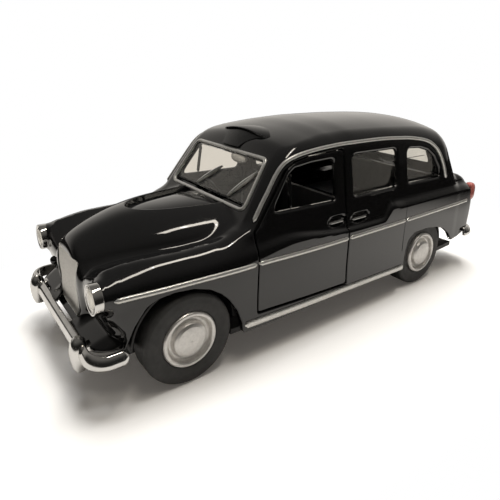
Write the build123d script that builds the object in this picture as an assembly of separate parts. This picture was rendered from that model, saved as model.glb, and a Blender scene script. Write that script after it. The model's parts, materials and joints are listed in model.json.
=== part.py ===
from build123d import *
import math
import os

# Toy taxi cab, millimetres. +X is forward, +Y is the cab's left, +Z is up.
# The origin is on the ground under the middle of the bounding box.

# Wheels and stance
BODY_HALF_WIDTH = 22.6
WHEELBASE = 73.7
FRONT_AXLE_X = 40.3
REAR_AXLE_X = FRONT_AXLE_X - WHEELBASE
TYRE_RADIUS = 9.4
TYRE_WIDTH = 6.2
TYRE_FACE_Y = BODY_HALF_WIDTH - 0.8
TYRE_SHOULDER = 1.4
HUB_RADIUS = 5.7
HUB_SEAT_CLEARANCE = 0.04
HUB_DISC = 2.4
HUB_RING = 1.1
HUB_GROOVE_DEPTH = 0.7
HUB_CAP_RADIUS = 3.4
HUB_CAP_RISE = 0.7
AXLE_RADIUS = 1.0
AXLE_BORE_CLEARANCE = 0.06
AXLE_END_Y = TYRE_FACE_Y - HUB_DISC
WELL_CLEARANCE = 0.2

# Cast body
WALL = 1.2
BODY_FRONT_X = 56.1
BODY_REAR_X = -58.6
SKIRT_Z = 6.6
SILL_TUCK = 0.7
FLANK_BULGE_Z = 11.3
FLANK_TOP_Z = 15.6
WAIST_Z = 20.8
DOOR_PANEL_TOP_Z = 23.0
DOOR_PANEL_STEP = 1.5
BELT_Z = 29.0
BELT_INSET = 2.2
SHOULDER_ROUND = 1.0
SCUTTLE_X = 23.5
PANEL_INNER_Y = 6.0

# Lower panels along the cab. Each row is one section of a loft.
REAR_PANEL = (
    # x, flank drawn in, crest height, crest radius, fall of the top towards the bonnet
    (-60.0, 2.3, 26.3, 2.0, 0.0),
    (-40.0, 1.1, 26.4, 2.0, 0.0),
    (-9.9, 0.45, 26.4, 2.0, 0.0),
)
DOOR_PANEL = (
    (-9.9, 0.45, 22.9, 0.9, 0.0),
    (4.0, 0.25, 23.4, 0.9, 0.0),
)
FRONT_PANEL = (
    (4.0, 0.25, 23.4, 0.9, 0.0),
    (12.0, 0.1, 24.7, 1.5, 0.0),
    (26.0, 0.1, 25.9, 4.2, 1.4),
    (44.0, 1.0, 25.3, 5.0, 2.0),
    (52.0, 2.4, 24.4, 4.8, 1.6),
    (57.5, 4.0, 21.0, 3.5, 1.0),
)
UPPER_PANEL = (
    # x, flank drawn in
    (-60.0, 2.3),
    (-40.0, 1.1),
    (-9.9, 0.45),
    (14.0, 0.1),
    (34.0, 0.3),
)
SWAGE_TOP_X = -13.8
SWAGE_FOOT_X = -9.9
SWAGE_FOOT_Z = 22.4
TAIL_ROUND_X = 5.0
BOOT_TOP_X = -53.4
BOOT_ROUND = (-57.9, 25.1)
BOOT_SHOULDER_Z = 20.0

# Front and rear faces seen from above, at four heights
END_LEVELS = (
    # z, front face, rear face
    (0.0, 50.0, -57.2),
    (12.5, 53.6, -58.4),
    (22.0, 56.1, -58.6),
    (34.0, 56.3, -58.6),
)
NOSE_CORNER = 4.4
NOSE_FLAT_Y = 15.6
TAIL_CORNER = 4.5
TAIL_FLAT_Y = 16.2
CORNER_RUN = 4.0

# Bonnet sections, from the scuttle to the nose
BONNET_BOTTOM_Z = 12.0
BONNET_SECTIONS = (
    # x, half width, shoulder height, crown height
    (22.5, 16.4, 26.6, 31.7),
    (38.0, 13.4, 25.6, 31.4),
    (48.5, 10.2, 23.7, 29.2),
    (55.9, 7.5, 21.2, 25.5),
)

# Nose and grille
NOSE_BOTTOM_Z = 9.6
NOSE_LENGTH = 8.0
VALANCE_Z = 8.6
VALANCE_X = 49.4
VALANCE_RISE_RUN = 2.6
REAR_VALANCE_X = -46.5
REAR_VALANCE_RUN = 5.0
REAR_VALANCE_TOP_Z = 11.6
REAR_VALANCE_Z = 9.9
GRILLE_HALF_TOP = 6.4
GRILLE_HALF_BOTTOM = 5.2
GRILLE_TOP_Z = 23.3
GRILLE_BOTTOM_Z = 11.0
GRILLE_ARCH = 0.5
GRILLE_RECESS = 0.5
GRILLE_THICKNESS = 0.9
GRILLE_FIT = 0.04

# Cabin outline at three heights
CABIN_LEVELS = (
    # z, front x, rear x, drawn in from BODY_HALF_WIDTH
    (27.0, 26.3, -52.4, 1.9),
    (41.2, 16.7, -46.4, 4.1),
    (48.0, 13.6, -43.4, 5.2),
)
CABIN_CORNER_FRONT = 3.6
CABIN_CORNER_REAR = 4.6
ROOF_STATIONS = (
    # x, crown height, fall from the crown to the edge of the roof
    (30.0, 35.8, 0.9),
    (20.0, 41.0, 0.9),
    (13.0, 43.95, 1.0),
    (4.0, 45.85, 1.4),
    (-8.0, 46.8, 1.7),
    (-24.0, 46.6, 1.7),
    (-36.0, 45.9, 1.7),
    (-46.0, 43.0, 1.7),
    (-56.0, 36.6, 1.7),
)
ROOF_EDGE_INSET = 8.4
ROOF_RAIL_INSET = 3.4
ROOF_RAIL_DROP = 3.4
ROOF_RAIL_BULGE = 1.0
ROOF_CROWN_BOW = 0.22
ROOF_FLOOR_Z = 25.0

# Windows and the windscreen
SCREEN_BOTTOM_Z = 31.2
SCREEN_TOP_Z = 39.9
SCREEN_HALF_BOTTOM = BODY_HALF_WIDTH - 7.5
SCREEN_HALF_TOP = BODY_HALF_WIDTH - 8.9
WINDOW_ROUND = 1.3
WINDOW_SILL_Z = 29.8
REAR_SCREEN_BOTTOM_Z = 31.4
REAR_SCREEN_TOP_Z = 38.6
REAR_SCREEN_HALF = BODY_HALF_WIDTH - 12.0
REAR_SCREEN_TAPER = 1.0
SCREEN_CUT_X = (10.0, 32.0)
REAR_SCREEN_CUT_X = (-60.0, -40.0)
GLASS_THICKNESS = 0.7
GLASS_GAP = 0.05
GLASS_SET_IN = 0.3

# Raised cast lines
LINES_FROM_Y = 15.0
WINDOW_FROM_Y = 12.0
ARCH_LIP_FROM_Y = 18.0
WAIST_LINE_FRONT_X = 53.9
WAIST_LINE_REAR_X = -55.4
SILL_LINE_FRONT_X = 28.4
SILL_LINE_REAR_X = -25.4
LINE_PROUD = 0.35
WAIST_LINE_HEIGHT = 0.9
SILL_LINE_BOTTOM_Z = 6.7
SILL_LINE_HEIGHT = 1.6
SILL_LINE_TAPER = 1.0
GUTTER_FOOT_Z = BELT_Z - 0.1
GUTTER_WIDTH = 0.7
FRAME_WIDTH = 0.7
ARCH_LIP_WIDTH = 0.7

# Front doors
DOOR_FRONT_X = 25.2
DOOR_REAR_X = -2.3
DOOR_BOTTOM_Z = 9.0
DOOR_GAP = 0.3
DOOR_INNER_Y = BODY_HALF_WIDTH - 5.6
QUARTER_BAR_X = 14.8
QUARTER_BAR_WIDTH = 0.8
HANDLE_LENGTH = 5.2
HANDLE_HEIGHT = 2.4
HANDLE_DEPTH = 0.5
HANDLE_BAR = 0.5
FRONT_HANDLE_X = 2.3
REAR_HANDLE_X = -6.2
HANDLE_Z = 25.2

# Wheel arches
FRONT_ARCH_RADIUS = 10.3
REAR_ARCH_TOP_Z = 16.0
REAR_ARCH_FRONT_X = -26.0
REAR_ARCH_REAR_X = -47.2

# Base plate
BASE_BOTTOM_Z = 5.8
BASE_THICKNESS = 1.2
BASE_FRONT_X = 50.0
BASE_REAR_X = -54.0
BASE_CLEARANCE = 0.3
WHEEL_CLEARANCE = 0.9
CRADLE_THICKNESS = 2.2
CRADLE_LENGTH = 5.0
CRADLE_Y = 12.6
CRADLE_CAP = 1.4

# Bumpers
BUMPER_X = 59.4
REAR_BUMPER_X = 60.3
OVERRIDER_PROUD = 1.1
BUMPER_Z = 10.7
BUMPER_HEIGHT = 2.7
BUMPER_DEPTH = 1.3
BUMPER_HALF_WIDTH = BODY_HALF_WIDTH - 0.1
BUMPER_CORNER = 5.0
FRONT_WRAP = 6.6
REAR_WRAP = 4.0
OVERRIDER_Y = BODY_HALF_WIDTH - 7.8
OVERRIDER_WIDTH = 3.2
OVERRIDER_BOTTOM_Z = 6.3
OVERRIDER_TOP_Z = 13.2
OVERRIDER_DEPTH = 2.0
OVERRIDER_ROUND = 0.8
BRACKET_WIDTH = 2.4
BRACKET_HEIGHT = 1.4
BRACKET_REACH = 7.0
REAR_BRACKET_REACH = 2.6
REAR_BUMPER_Z = 11.4

# Lamps
HEADLAMP_Y = BODY_HALF_WIDTH - 5.5
HEADLAMP_Z = 20.9
HEADLAMP_RADIUS = 2.9
HEADLAMP_BEZEL = 0.5
HEADLAMP_FRONT_X = 57.2
HEADLAMP_DEPTH = 4.8
HEADLAMP_RING = 1.5
HEADLAMP_BOWL_RADIUS = 2.2
POD_RADIUS = 2.75
POD_FRONT_X = 55.7
POD_REAR_X = 47.0
LAMP_FIT = 0.04
LENS_RISE = 0.5
HEADLAMP_CUP = 1.2
SIDELAMP_X = 55.0
SIDELAMP_Y = BODY_HALF_WIDTH - 9.4
SIDELAMP_Z = 16.4
SIDELAMP_RADIUS = 1.1
TAIL_LAMP_Y = BODY_HALF_WIDTH - 3.0
TAIL_LAMP_Z = 22.6
TAIL_LAMP_RADIUS = 1.5
TAIL_LAMP_HEIGHT = 4.6
TAIL_LAMP_X = -57.8
TAIL_LAMP_LENGTH = 3.0

# Roof sign
SIGN_RIM_X = 13.2
SIGN_RIM_Z = 45.2
SIGN_REAR_X = 6.0
SIGN_TOP_HALF = 8.6
SIGN_FOOT_X = 16.9
SIGN_FOOT_Z = 41.4
SIGN_FOOT_HALF = 3.6
SIGN_CAP_HEIGHT = 1.4
SIGN_CAP_LIP = 0.7

# Inside
TUNNEL_HEIGHT = 0.8
FLOOR_Z = BASE_BOTTOM_Z + BASE_THICKNESS + TUNNEL_HEIGHT
FLOOR_THICKNESS = 1.0
TUB_HALF_WIDTH = BODY_HALF_WIDTH - 4.2
DASH_X = 20.4
FLOOR_FRONT_X = 23.0
FLOOR_REAR_X = -22.5
SEAT_X = 6.0
PARTITION_X = -3.6
BENCH_FRONT_X = -25.6
BENCH_DEPTH = 13.0
BENCH_Z = 20.2
SEAT_Y = 9.0 - TUB_HALF_WIDTH
STEERING_RADIUS = 3.4


def side_face(points):
    """A face in the XZ plane from straight and three-point arc edges."""
    edges = []
    for item in points:
        if len(item) == 2:
            edges.append(Line(item[0], item[1]))
        else:
            edges.append(ThreePointArc(item[0], item[1], item[2]))
    return Plane.XZ * make_face(edges)


def prism_y(points, half=30.0):
    """The same outline as a solid, from y = -half to y = half."""
    return extrude(side_face(points), amount=half, both=True)


def chain(corners):
    """Straight edges through corner points, closed."""
    loop = list(corners) + [corners[0]]
    return [(loop[i], loop[i + 1]) for i in range(len(corners))]


def prism_x(points, x_from, x_to):
    """A YZ outline of edges as a solid between two stations."""
    edges = []
    for item in points:
        if len(item) == 2:
            edges.append(Line(item[0], item[1]))
        else:
            edges.append(ThreePointArc(item[0], item[1], item[2]))
    face = Plane.YZ * make_face(edges)
    return Pos(x_from, 0, 0) * extrude(face, amount=x_to - x_from)


def mirrored(edges):
    """A half outline that starts and ends on the centre line, with its mirror image."""
    other = []
    for item in reversed(edges):
        other.append(tuple((-p[0], p[1]) for p in reversed(item)))
    return edges + other


def section_loft(sections):
    """A loft through YZ outlines, given as pairs of a station and its edges."""
    faces = []
    for x, edges in sections:
        lines = []
        for item in edges:
            if len(item) == 2:
                lines.append(Line(item[0], item[1]))
            else:
                lines.append(ThreePointArc(item[0], item[1], item[2]))
        faces.append(Plane.YZ.offset(x) * make_face(lines))
    return loft(faces)


def corner_mid(radius):
    """How far the middle of a rounded corner lies inside the sharp one."""
    return radius * (1 - math.sqrt(0.5))


def ends_limit(t):
    """The nose and the tail seen from above: the nose leans back to its foot."""
    outlines = []
    for z, front, rear in END_LEVELS:
        f = front - t
        r = rear + t
        wide = BODY_HALF_WIDTH + CORNER_RUN
        fy = NOSE_FLAT_Y - t
        ry = TAIL_FLAT_Y - t
        fr = NOSE_CORNER
        rr = TAIL_CORNER
        half = [
            ((r, 0), (r, ry)),
            ((r, ry), (r + corner_mid(rr), ry + rr - corner_mid(rr)), (r + rr, ry + rr)),
            ((r + rr, ry + rr), (r + rr + CORNER_RUN, wide)),
            ((r + rr + CORNER_RUN, wide), (f - fr - CORNER_RUN, wide)),
            ((f - fr - CORNER_RUN, wide), (f - fr, fy + fr)),
            ((f - fr, fy + fr), (f - corner_mid(fr), fy + fr - corner_mid(fr)), (f, fy)),
            ((f, fy), (f, 0)),
        ]
        lines = []
        for item in half + [tuple((p[0], -p[1]) for p in reversed(edge)) for edge in reversed(half)]:
            if len(item) == 2:
                lines.append(Line(item[0], item[1]))
            else:
                lines.append(ThreePointArc(item[0], item[1], item[2]))
        outlines.append(Pos(0, 0, z) * make_face(lines))
    return loft(outlines)


def panel_edges(half, crest, radius, fall):
    """The lower body on the left: sill, flank, rounded crest and a top that falls towards the bonnet."""
    mid = corner_mid(radius)
    sill = half - SILL_TUCK
    return [
        ((PANEL_INNER_Y, 0), (sill, 0)),
        ((sill, 0), (sill, SKIRT_Z)),
        ((sill, SKIRT_Z), (half - SILL_TUCK / 4, FLANK_BULGE_Z), (half, FLANK_TOP_Z)),
        ((half, FLANK_TOP_Z), (half, crest - radius)),
        ((half, crest - radius), (half - mid, crest - mid), (half - radius, crest)),
        ((half - radius, crest), (PANEL_INNER_Y, crest - fall)),
        ((PANEL_INNER_Y, crest - fall), (PANEL_INNER_Y, 0)),
    ]


def panel(rows, t):
    """One length of the lower body, drawn in by t."""
    sections = []
    for x, inset, crest, radius, fall in rows:
        half = BODY_HALF_WIDTH - inset - t
        sections.append((x, panel_edges(half, crest - t, radius, fall)))
    return section_loft(sections)


def lower_body(t):
    """Wings, door bottoms and rear quarters, with the step up in the rear doors."""
    rear = BODY_REAR_X + t
    top = REAR_PANEL[1][2] - t
    step = SWAGE_TOP_X - t
    profile = prism_y([
        ((rear, 0), (rear, BOOT_SHOULDER_Z)),
        ((rear, BOOT_SHOULDER_Z), (rear + 1.1, 24.6 - t), (rear + TAIL_ROUND_X, top)),
        ((rear + TAIL_ROUND_X, top), (step, top)),
        ((step, top), (SWAGE_FOOT_X, SWAGE_FOOT_Z - t)),
        ((SWAGE_FOOT_X, SWAGE_FOOT_Z - t), (SWAGE_FOOT_X, 0)),
        ((SWAGE_FOOT_X, 0), (rear, 0)),
    ])
    left = panel(REAR_PANEL, t) & profile
    left = left + panel(DOOR_PANEL, t) + panel(FRONT_PANEL, t)
    return left + left.mirror(Plane.XZ)


def upper_body(t):
    """The upper door panels, the belt, the scuttle sides and the boot."""
    top = BELT_Z - t
    sections = []
    for x, inset in UPPER_PANEL:
        half = BODY_HALF_WIDTH - DOOR_PANEL_STEP - inset - t
        belt = BODY_HALF_WIDTH - BELT_INSET - inset - t
        mid = corner_mid(SHOULDER_ROUND)
        sections.append((x, mirrored([
            ((0, 0), (half, 0)),
            ((half, 0), (half, DOOR_PANEL_TOP_Z)),
            ((half, DOOR_PANEL_TOP_Z), (belt, top - SHOULDER_ROUND)),
            ((belt, top - SHOULDER_ROUND), (belt - mid, top - mid), (belt - SHOULDER_ROUND, top)),
            ((belt - SHOULDER_ROUND, top), (0, top)),
        ])))
    rear = BODY_REAR_X + t
    boot_x = BOOT_TOP_X + t
    profile = prism_y([
        ((rear, 0), (rear, BOOT_SHOULDER_Z)),
        ((rear, BOOT_SHOULDER_Z), (BOOT_ROUND[0] + t, BOOT_ROUND[1] - t), (boot_x, top)),
        ((boot_x, top), (SCUTTLE_X, top)),
        ((SCUTTLE_X, top), (27.6, 28.0 - t), (33.0, 24.6 - t)),
        ((33.0, 24.6 - t), (33.0, 0)),
        ((33.0, 0), (rear, 0)),
    ])
    return section_loft(sections) & profile


def bonnet(t):
    """The bonnet and the nose round the grille, lofted along the cab."""
    sections = []
    for x, half, shoulder, crown in BONNET_SECTIONS:
        last = x == BONNET_SECTIONS[-1][0]
        side = half - t
        sections.append((x - t if last else x, [
            ((-side, BONNET_BOTTOM_Z), (side, BONNET_BOTTOM_Z)),
            ((side, BONNET_BOTTOM_Z), (side, shoulder - t)),
            ((side, shoulder - t), (0, crown - t), (-side, shoulder - t)),
            ((-side, shoulder - t), (-side, BONNET_BOTTOM_Z)),
        ]))
    nose_x, nose_half, nose_shoulder, _ = BONNET_SECTIONS[-1]
    nose = prism_x(chain([
        (nose_half - t, nose_shoulder - t), (nose_half - t, NOSE_BOTTOM_Z),
        (t - nose_half, NOSE_BOTTOM_Z), (t - nose_half, nose_shoulder - t)]), nose_x - t - NOSE_LENGTH, nose_x - t)
    return section_loft(sections) + nose


def headlamp_pods(t):
    """The round pods that carry the headlamps at the front of the wings."""
    length = POD_FRONT_X - POD_REAR_X
    left = Pos(POD_FRONT_X - t - length / 2, HEADLAMP_Y, HEADLAMP_Z) * Rot(0, 90, 0) * Cylinder(
        POD_RADIUS - t, length)
    return left + left.mirror(Plane.XZ)


def cabin(t):
    """The greenhouse and roof."""
    levels = []
    for z, front, rear, inset in CABIN_LEVELS:
        f = front - t
        r = rear + t
        h = BODY_HALF_WIDTH - inset - t
        rf = CABIN_CORNER_FRONT
        rr = CABIN_CORNER_REAR
        kf = corner_mid(rf)
        kr = corner_mid(rr)
        outline = [
            Line((r, -h + rr), (r, h - rr)),
            ThreePointArc((r, h - rr), (r + kr, h - kr), (r + rr, h)),
            Line((r + rr, h), (f - rf, h)),
            ThreePointArc((f - rf, h), (f - kf, h - kf), (f, h - rf)),
            Line((f, h - rf), (f, -h + rf)),
            ThreePointArc((f, -h + rf), (f - kf, -h + kf), (f - rf, -h)),
            Line((f - rf, -h), (r + rr, -h)),
            ThreePointArc((r + rr, -h), (r + kr, -h + kr), (r, -h + rr)),
        ]
        levels.append(Pos(0, 0, z) * make_face(outline))
    tower = loft(levels, ruled=True)
    sections = []
    for x, crown, fall in ROOF_STATIONS:
        c = crown - t
        edge_y = BODY_HALF_WIDTH - ROOF_EDGE_INSET - t
        edge_z = c - fall
        rail_y = BODY_HALF_WIDTH - ROOF_RAIL_INSET - t
        rail_z = edge_z - ROOF_RAIL_DROP
        mid = ((edge_y + rail_y) / 2 + ROOF_RAIL_BULGE / 2, (edge_z + rail_z) / 2 + ROOF_RAIL_BULGE / 2)
        sections.append((x, mirrored([
            ((0, ROOF_FLOOR_Z), (rail_y, ROOF_FLOOR_Z)),
            ((rail_y, ROOF_FLOOR_Z), (rail_y, rail_z)),
            ((rail_y, rail_z), mid, (edge_y, edge_z)),
            ((edge_y, edge_z), (edge_y / 2, c - ROOF_CROWN_BOW * fall), (0, c)),
        ])))
    return tower & section_loft(sections)


def lower_form(t):
    """Everything below the cabin but the bonnet, drawn in by t all round."""
    return (lower_body(t) + upper_body(t)) & ends_limit(t)


def form(t):
    """The whole outer form of the body, drawn in by t all round."""
    lower = lower_form(t)
    if t < POD_RADIUS / 2:
        lower = lower + headlamp_pods(t)
    return lower + bonnet(t) + cabin(t)


def gutter_path(t):
    """The drip rail line over the doors, seen from the side, drawn in by t."""
    return [
        ((24.3 - t, BELT_Z - 0.4), (17.6 - t, 39.6 - 0.5 * t)),
        ((17.6 - t, 39.6 - 0.5 * t), (15.0 - 0.6 * t, 41.6 - t), (10.4, 42.4 - t)),
        ((10.4, 42.4 - t), (-8.0, 43.1 - t), (-26.0, 42.5 - t)),
        ((-26.0, 42.5 - t), (-39.2 + 0.7 * t, 39.4 - 0.7 * t), (-46.4 + t, BELT_Z - 0.4)),
        ((-46.4 + t, BELT_Z - 0.4), (24.3 - t, BELT_Z - 0.4)),
    ]


def both_sides(solid, y_from):
    """Keeps what lies further out than y_from on either side."""
    slab = Pos(0, y_from + 20, 25) * Box(200, 40, 80)
    return (solid & slab) + (solid & slab.mirror(Plane.XZ))


def arch_tool(grow, y_from):
    """The four wheel openings, grown by a margin, further out than y_from."""
    front = Pos(FRONT_AXLE_X, 0, TYRE_RADIUS) * Rot(90, 0, 0) * Cylinder(FRONT_ARCH_RADIUS + grow, 60)
    front = front + Pos(FRONT_AXLE_X, 0, 2) * Box(2 * (FRONT_ARCH_RADIUS + grow), 60, 14.0)
    f = REAR_ARCH_FRONT_X + grow
    r = REAR_ARCH_REAR_X - grow
    top = REAR_ARCH_TOP_Z + grow
    rear = prism_y([
        ((f + 0.8, 0), (f + 0.8, 6.0)),
        ((f + 0.8, 6.0), (f - 2.7, 13.0), (-35.6, top)),
        ((-35.6, top), (-43.4 - 0.7 * grow, 14.3 + 0.7 * grow), (r, 9.0)),
        ((r, 9.0), (r, 0)),
        ((r, 0), (f + 0.8, 0)),
    ])
    return both_sides(front + rear, y_from)


def grille_shape(grow, x_from, x_to):
    """The grille's outline, wider at its arched top, as a solid between two stations."""
    foot = GRILLE_HALF_BOTTOM + grow
    head = GRILLE_HALF_TOP + grow
    low = GRILLE_BOTTOM_Z - grow
    spring = GRILLE_TOP_Z - GRILLE_ARCH
    face = Plane.YZ * make_face([
        Line((foot, low), (-foot, low)),
        Line((-foot, low), (-head, spring)),
        ThreePointArc((-head, spring), (0, GRILLE_TOP_Z + grow), (head, spring)),
        Line((head, spring), (foot, low)),
    ])
    return Pos(x_from, 0, 0) * extrude(face, amount=x_to - x_from)


def wheel_wells():
    """Room for the tyres behind the skin of the body."""
    wells = None
    depth = TYRE_FACE_Y + WELL_CLEARANCE - 14.0
    for x in (FRONT_AXLE_X, REAR_AXLE_X):
        for side in (1, -1):
            well = Pos(x, side * (14.0 + depth / 2), TYRE_RADIUS) * Rot(90, 0, 0) * Cylinder(
                TYRE_RADIUS + WHEEL_CLEARANCE, depth)
            wells = well if wells is None else wells + well
    return wells


def headlamp_seat():
    """The round pockets for the headlamp bowls, and the room for their rings."""
    left = Pos(HEADLAMP_FRONT_X - HEADLAMP_DEPTH / 2, HEADLAMP_Y, HEADLAMP_Z) * Rot(0, 90, 0) * Cylinder(
        HEADLAMP_BOWL_RADIUS + LAMP_FIT, HEADLAMP_DEPTH)
    left = left + Pos(HEADLAMP_FRONT_X - HEADLAMP_RING / 2, HEADLAMP_Y, HEADLAMP_Z) * Rot(0, 90, 0) * Cylinder(
        HEADLAMP_RADIUS + LAMP_FIT, HEADLAMP_RING)
    return left + left.mirror(Plane.XZ)


def tail_lamp_shape(grow):
    """The rounded red lens on the end of each rear wing, grown by a fit."""
    lens = Pos(TAIL_LAMP_X, TAIL_LAMP_Y, TAIL_LAMP_Z) * Box(
        TAIL_LAMP_LENGTH + 2 * grow, 2 * (TAIL_LAMP_RADIUS + grow), TAIL_LAMP_HEIGHT + 2 * grow)
    lens = fillet(lens.edges().filter_by(Axis.X), TAIL_LAMP_RADIUS - 0.1)
    return lens + lens.mirror(Plane.XZ)


def window_face(corners, radius):
    """A side window outline with rounded corners."""
    face = Plane.XZ * make_face(Polyline(*corners, close=True))
    return fillet(face.vertices(), radius)


def side_cut(face, half=30.0):
    return extrude(face, amount=half, both=True)


def front_window(grow=0.0):
    top = 40.5 + grow
    corners = [
        (-0.1 - grow, WINDOW_SILL_Z - grow), (-0.1 - grow, top), (13.0 + 0.4 * grow, top),
        (16.4 + grow, 36.6), (20.6 + grow, WINDOW_SILL_Z - grow),
    ]
    return side_cut(window_face(corners, WINDOW_ROUND))


def rear_door_window(grow=0.0):
    corners = [
        (-4.8 + grow, WINDOW_SILL_Z - grow), (-4.8 + grow, 41.0 + grow),
        (-22.8 - grow, 41.0 + grow), (-22.8 - grow, WINDOW_SILL_Z - grow),
    ]
    return side_cut(window_face(corners, WINDOW_ROUND))


def quarter_window(grow=0.0):
    corners = [
        (-25.8 + grow, WINDOW_SILL_Z - grow), (-25.8 + grow, 40.6 + grow),
        (-33.6, 40.0 + grow), (-39.6 - 0.8 * grow, 36.8 + 0.6 * grow),
        (-42.2 - grow, WINDOW_SILL_Z - grow),
    ]
    return side_cut(window_face(corners, WINDOW_ROUND))


def screen_slope():
    low, mid = CABIN_LEVELS[0], CABIN_LEVELS[1]
    return (mid[1] - low[1]) / (mid[0] - low[0])


def rear_slope():
    low, mid = CABIN_LEVELS[0], CABIN_LEVELS[1]
    return (mid[2] - low[2]) / (mid[0] - low[0])


def screen_x(z):
    return CABIN_LEVELS[0][1] + screen_slope() * (z - CABIN_LEVELS[0][0])


def rear_x(z):
    return CABIN_LEVELS[0][2] + rear_slope() * (z - CABIN_LEVELS[0][0])


def screen_cut(bottom, top, half_bottom, half_top, x_from, x_to):
    """A tapered opening through the front or back, extruded along X."""
    face = Plane.YZ * make_face(Polyline(
        (-half_bottom, bottom), (half_bottom, bottom), (half_top, top), (-half_top, top), close=True))
    face = fillet(face.vertices(), WINDOW_ROUND)
    return Pos(x_from, 0, 0) * extrude(face, amount=x_to - x_from)


def windscreen_cut(grow=0.0):
    return screen_cut(
        SCREEN_BOTTOM_Z - grow, SCREEN_TOP_Z + grow,
        SCREEN_HALF_BOTTOM + grow, SCREEN_HALF_TOP + grow, *SCREEN_CUT_X)


def rear_screen_cut(grow=0.0):
    return screen_cut(
        REAR_SCREEN_BOTTOM_Z - grow, REAR_SCREEN_TOP_Z + grow,
        REAR_SCREEN_HALF + grow, REAR_SCREEN_HALF - REAR_SCREEN_TAPER + grow, *REAR_SCREEN_CUT_X)


def door_outline(gap):
    """The front door seen from the side, drawn in by gap all round."""
    edges = [
        ((DOOR_REAR_X + gap, DOOR_BOTTOM_Z + gap), (DOOR_FRONT_X - gap, DOOR_BOTTOM_Z + gap)),
        ((DOOR_FRONT_X - gap, DOOR_BOTTOM_Z + gap), (DOOR_FRONT_X - gap, BELT_Z - 0.9)),
        ((DOOR_FRONT_X - gap, BELT_Z - 0.9), (23.7 - 1.1 * gap, BELT_Z - 0.4)),
        ((23.7 - 1.1 * gap, BELT_Z - 0.4), (17.1 - 1.1 * gap, 39.2 - 0.5 * gap)),
        ((17.1 - 1.1 * gap, 39.2 - 0.5 * gap), (14.7 - 0.6 * gap, 41.0 - gap), (10.3, 41.75 - gap)),
        ((10.3, 41.75 - gap), (DOOR_REAR_X + gap, 42.3 - gap)),
        ((DOOR_REAR_X + gap, 42.3 - gap), (DOOR_REAR_X + gap, DOOR_BOTTOM_Z + gap)),
    ]
    return prism_y(edges)


def handle_recess(x):
    """A shallow oval dish, on both sides, with the grip left standing in it."""
    dish = Pos(x, 0, HANDLE_Z) * Rot(90, 0, 0) * extrude(
        Ellipse(HANDLE_LENGTH / 2, HANDLE_HEIGHT / 2), amount=30, both=True)
    grip = Pos(x, 0, HANDLE_Z) * Box(HANDLE_LENGTH * 0.7, 60, HANDLE_BAR)
    return dish - grip


def main_piece(shape):
    """The casting itself, without slivers that a cut leaves beside it."""
    return max(shape.solids(), key=lambda solid: solid.volume)


def sidelamps():
    """The small domes under the headlamps."""
    left = Pos(SIDELAMP_X, SIDELAMP_Y, SIDELAMP_Z) * Sphere(SIDELAMP_RADIUS)
    return left + left.mirror(Plane.XZ)


def line_tools():
    """Where the raised lines run: waist, sill, drip rail, windscreen frame and arch lips."""
    low = WAIST_Z - WAIST_LINE_HEIGHT / 2
    high = WAIST_Z + WAIST_LINE_HEIGHT / 2
    waist = prism_y(chain([
        (WAIST_LINE_REAR_X, low), (WAIST_LINE_FRONT_X, low), (WAIST_LINE_FRONT_X, high), (WAIST_LINE_REAR_X, high)]))
    sill_top = SILL_LINE_BOTTOM_Z + SILL_LINE_HEIGHT
    sill = prism_y(chain([
        (SILL_LINE_REAR_X, SILL_LINE_BOTTOM_Z), (SILL_LINE_FRONT_X, SILL_LINE_BOTTOM_Z),
        (SILL_LINE_FRONT_X - SILL_LINE_TAPER, sill_top), (SILL_LINE_REAR_X, sill_top)]))
    gutter = prism_y(gutter_path(0)) - prism_y(gutter_path(GUTTER_WIDTH))
    gutter = gutter - Pos(0, 0, GUTTER_FOOT_Z / 2) * Box(200, 100, GUTTER_FOOT_Z)
    frame = windscreen_cut(FRAME_WIDTH) - windscreen_cut()
    return both_sides(waist + sill, LINES_FROM_Y) + both_sides(gutter, WINDOW_FROM_Y) + frame + arch_tool(
        ARCH_LIP_WIDTH, ARCH_LIP_FROM_Y)


def make_body(outer):
    """The hollow shell with its openings, and the two doors cut out of it."""
    shell = outer + (form(-LINE_PROUD) & line_tools()) + sidelamps() - form(WALL)
    shell = shell - Pos(0, 0, SKIRT_Z / 2 - 0.1) * Box(200, 100, SKIRT_Z)
    shell = shell - arch_tool(0, WINDOW_FROM_Y) - wheel_wells()
    shell = shell - headlamp_seat() - tail_lamp_shape(LAMP_FIT)
    far_x = BUMPER_X + OVERRIDER_PROUD
    front_cut = prism_y(chain([
        (VALANCE_X, 0), (far_x, 0), (far_x, NOSE_BOTTOM_Z), (VALANCE_X + VALANCE_RISE_RUN, NOSE_BOTTOM_Z),
        (VALANCE_X, VALANCE_Z)]))
    back_x = -REAR_BUMPER_X - OVERRIDER_PROUD
    rear_cut = prism_y(chain([
        (REAR_VALANCE_X, 0), (back_x, 0), (back_x, REAR_VALANCE_TOP_Z),
        (REAR_VALANCE_X - REAR_VALANCE_RUN, REAR_VALANCE_Z), (REAR_VALANCE_X, REAR_VALANCE_Z)]))
    shell = shell - front_cut - rear_cut
    bar = Pos(QUARTER_BAR_X, 0, WINDOW_SILL_Z) * Box(QUARTER_BAR_WIDTH, 100, 40)
    for cut in (windscreen_cut(), rear_screen_cut(), front_window() - bar, rear_door_window(), quarter_window()):
        shell = shell - cut
    dishes = both_sides(handle_recess(FRONT_HANDLE_X) + handle_recess(REAR_HANDLE_X), WINDOW_FROM_Y)
    shell = shell - (dishes - lower_form(HANDLE_DEPTH))
    shell = shell - grille_shape(GRILLE_FIT, BODY_FRONT_X - NOSE_LENGTH, BODY_FRONT_X + NOSE_LENGTH)
    leaf = door_outline(DOOR_GAP)
    doors = both_sides(shell & leaf, DOOR_INNER_Y)
    shell = shell - both_sides(door_outline(0), DOOR_INNER_Y)
    return main_piece(shell), doors


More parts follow.
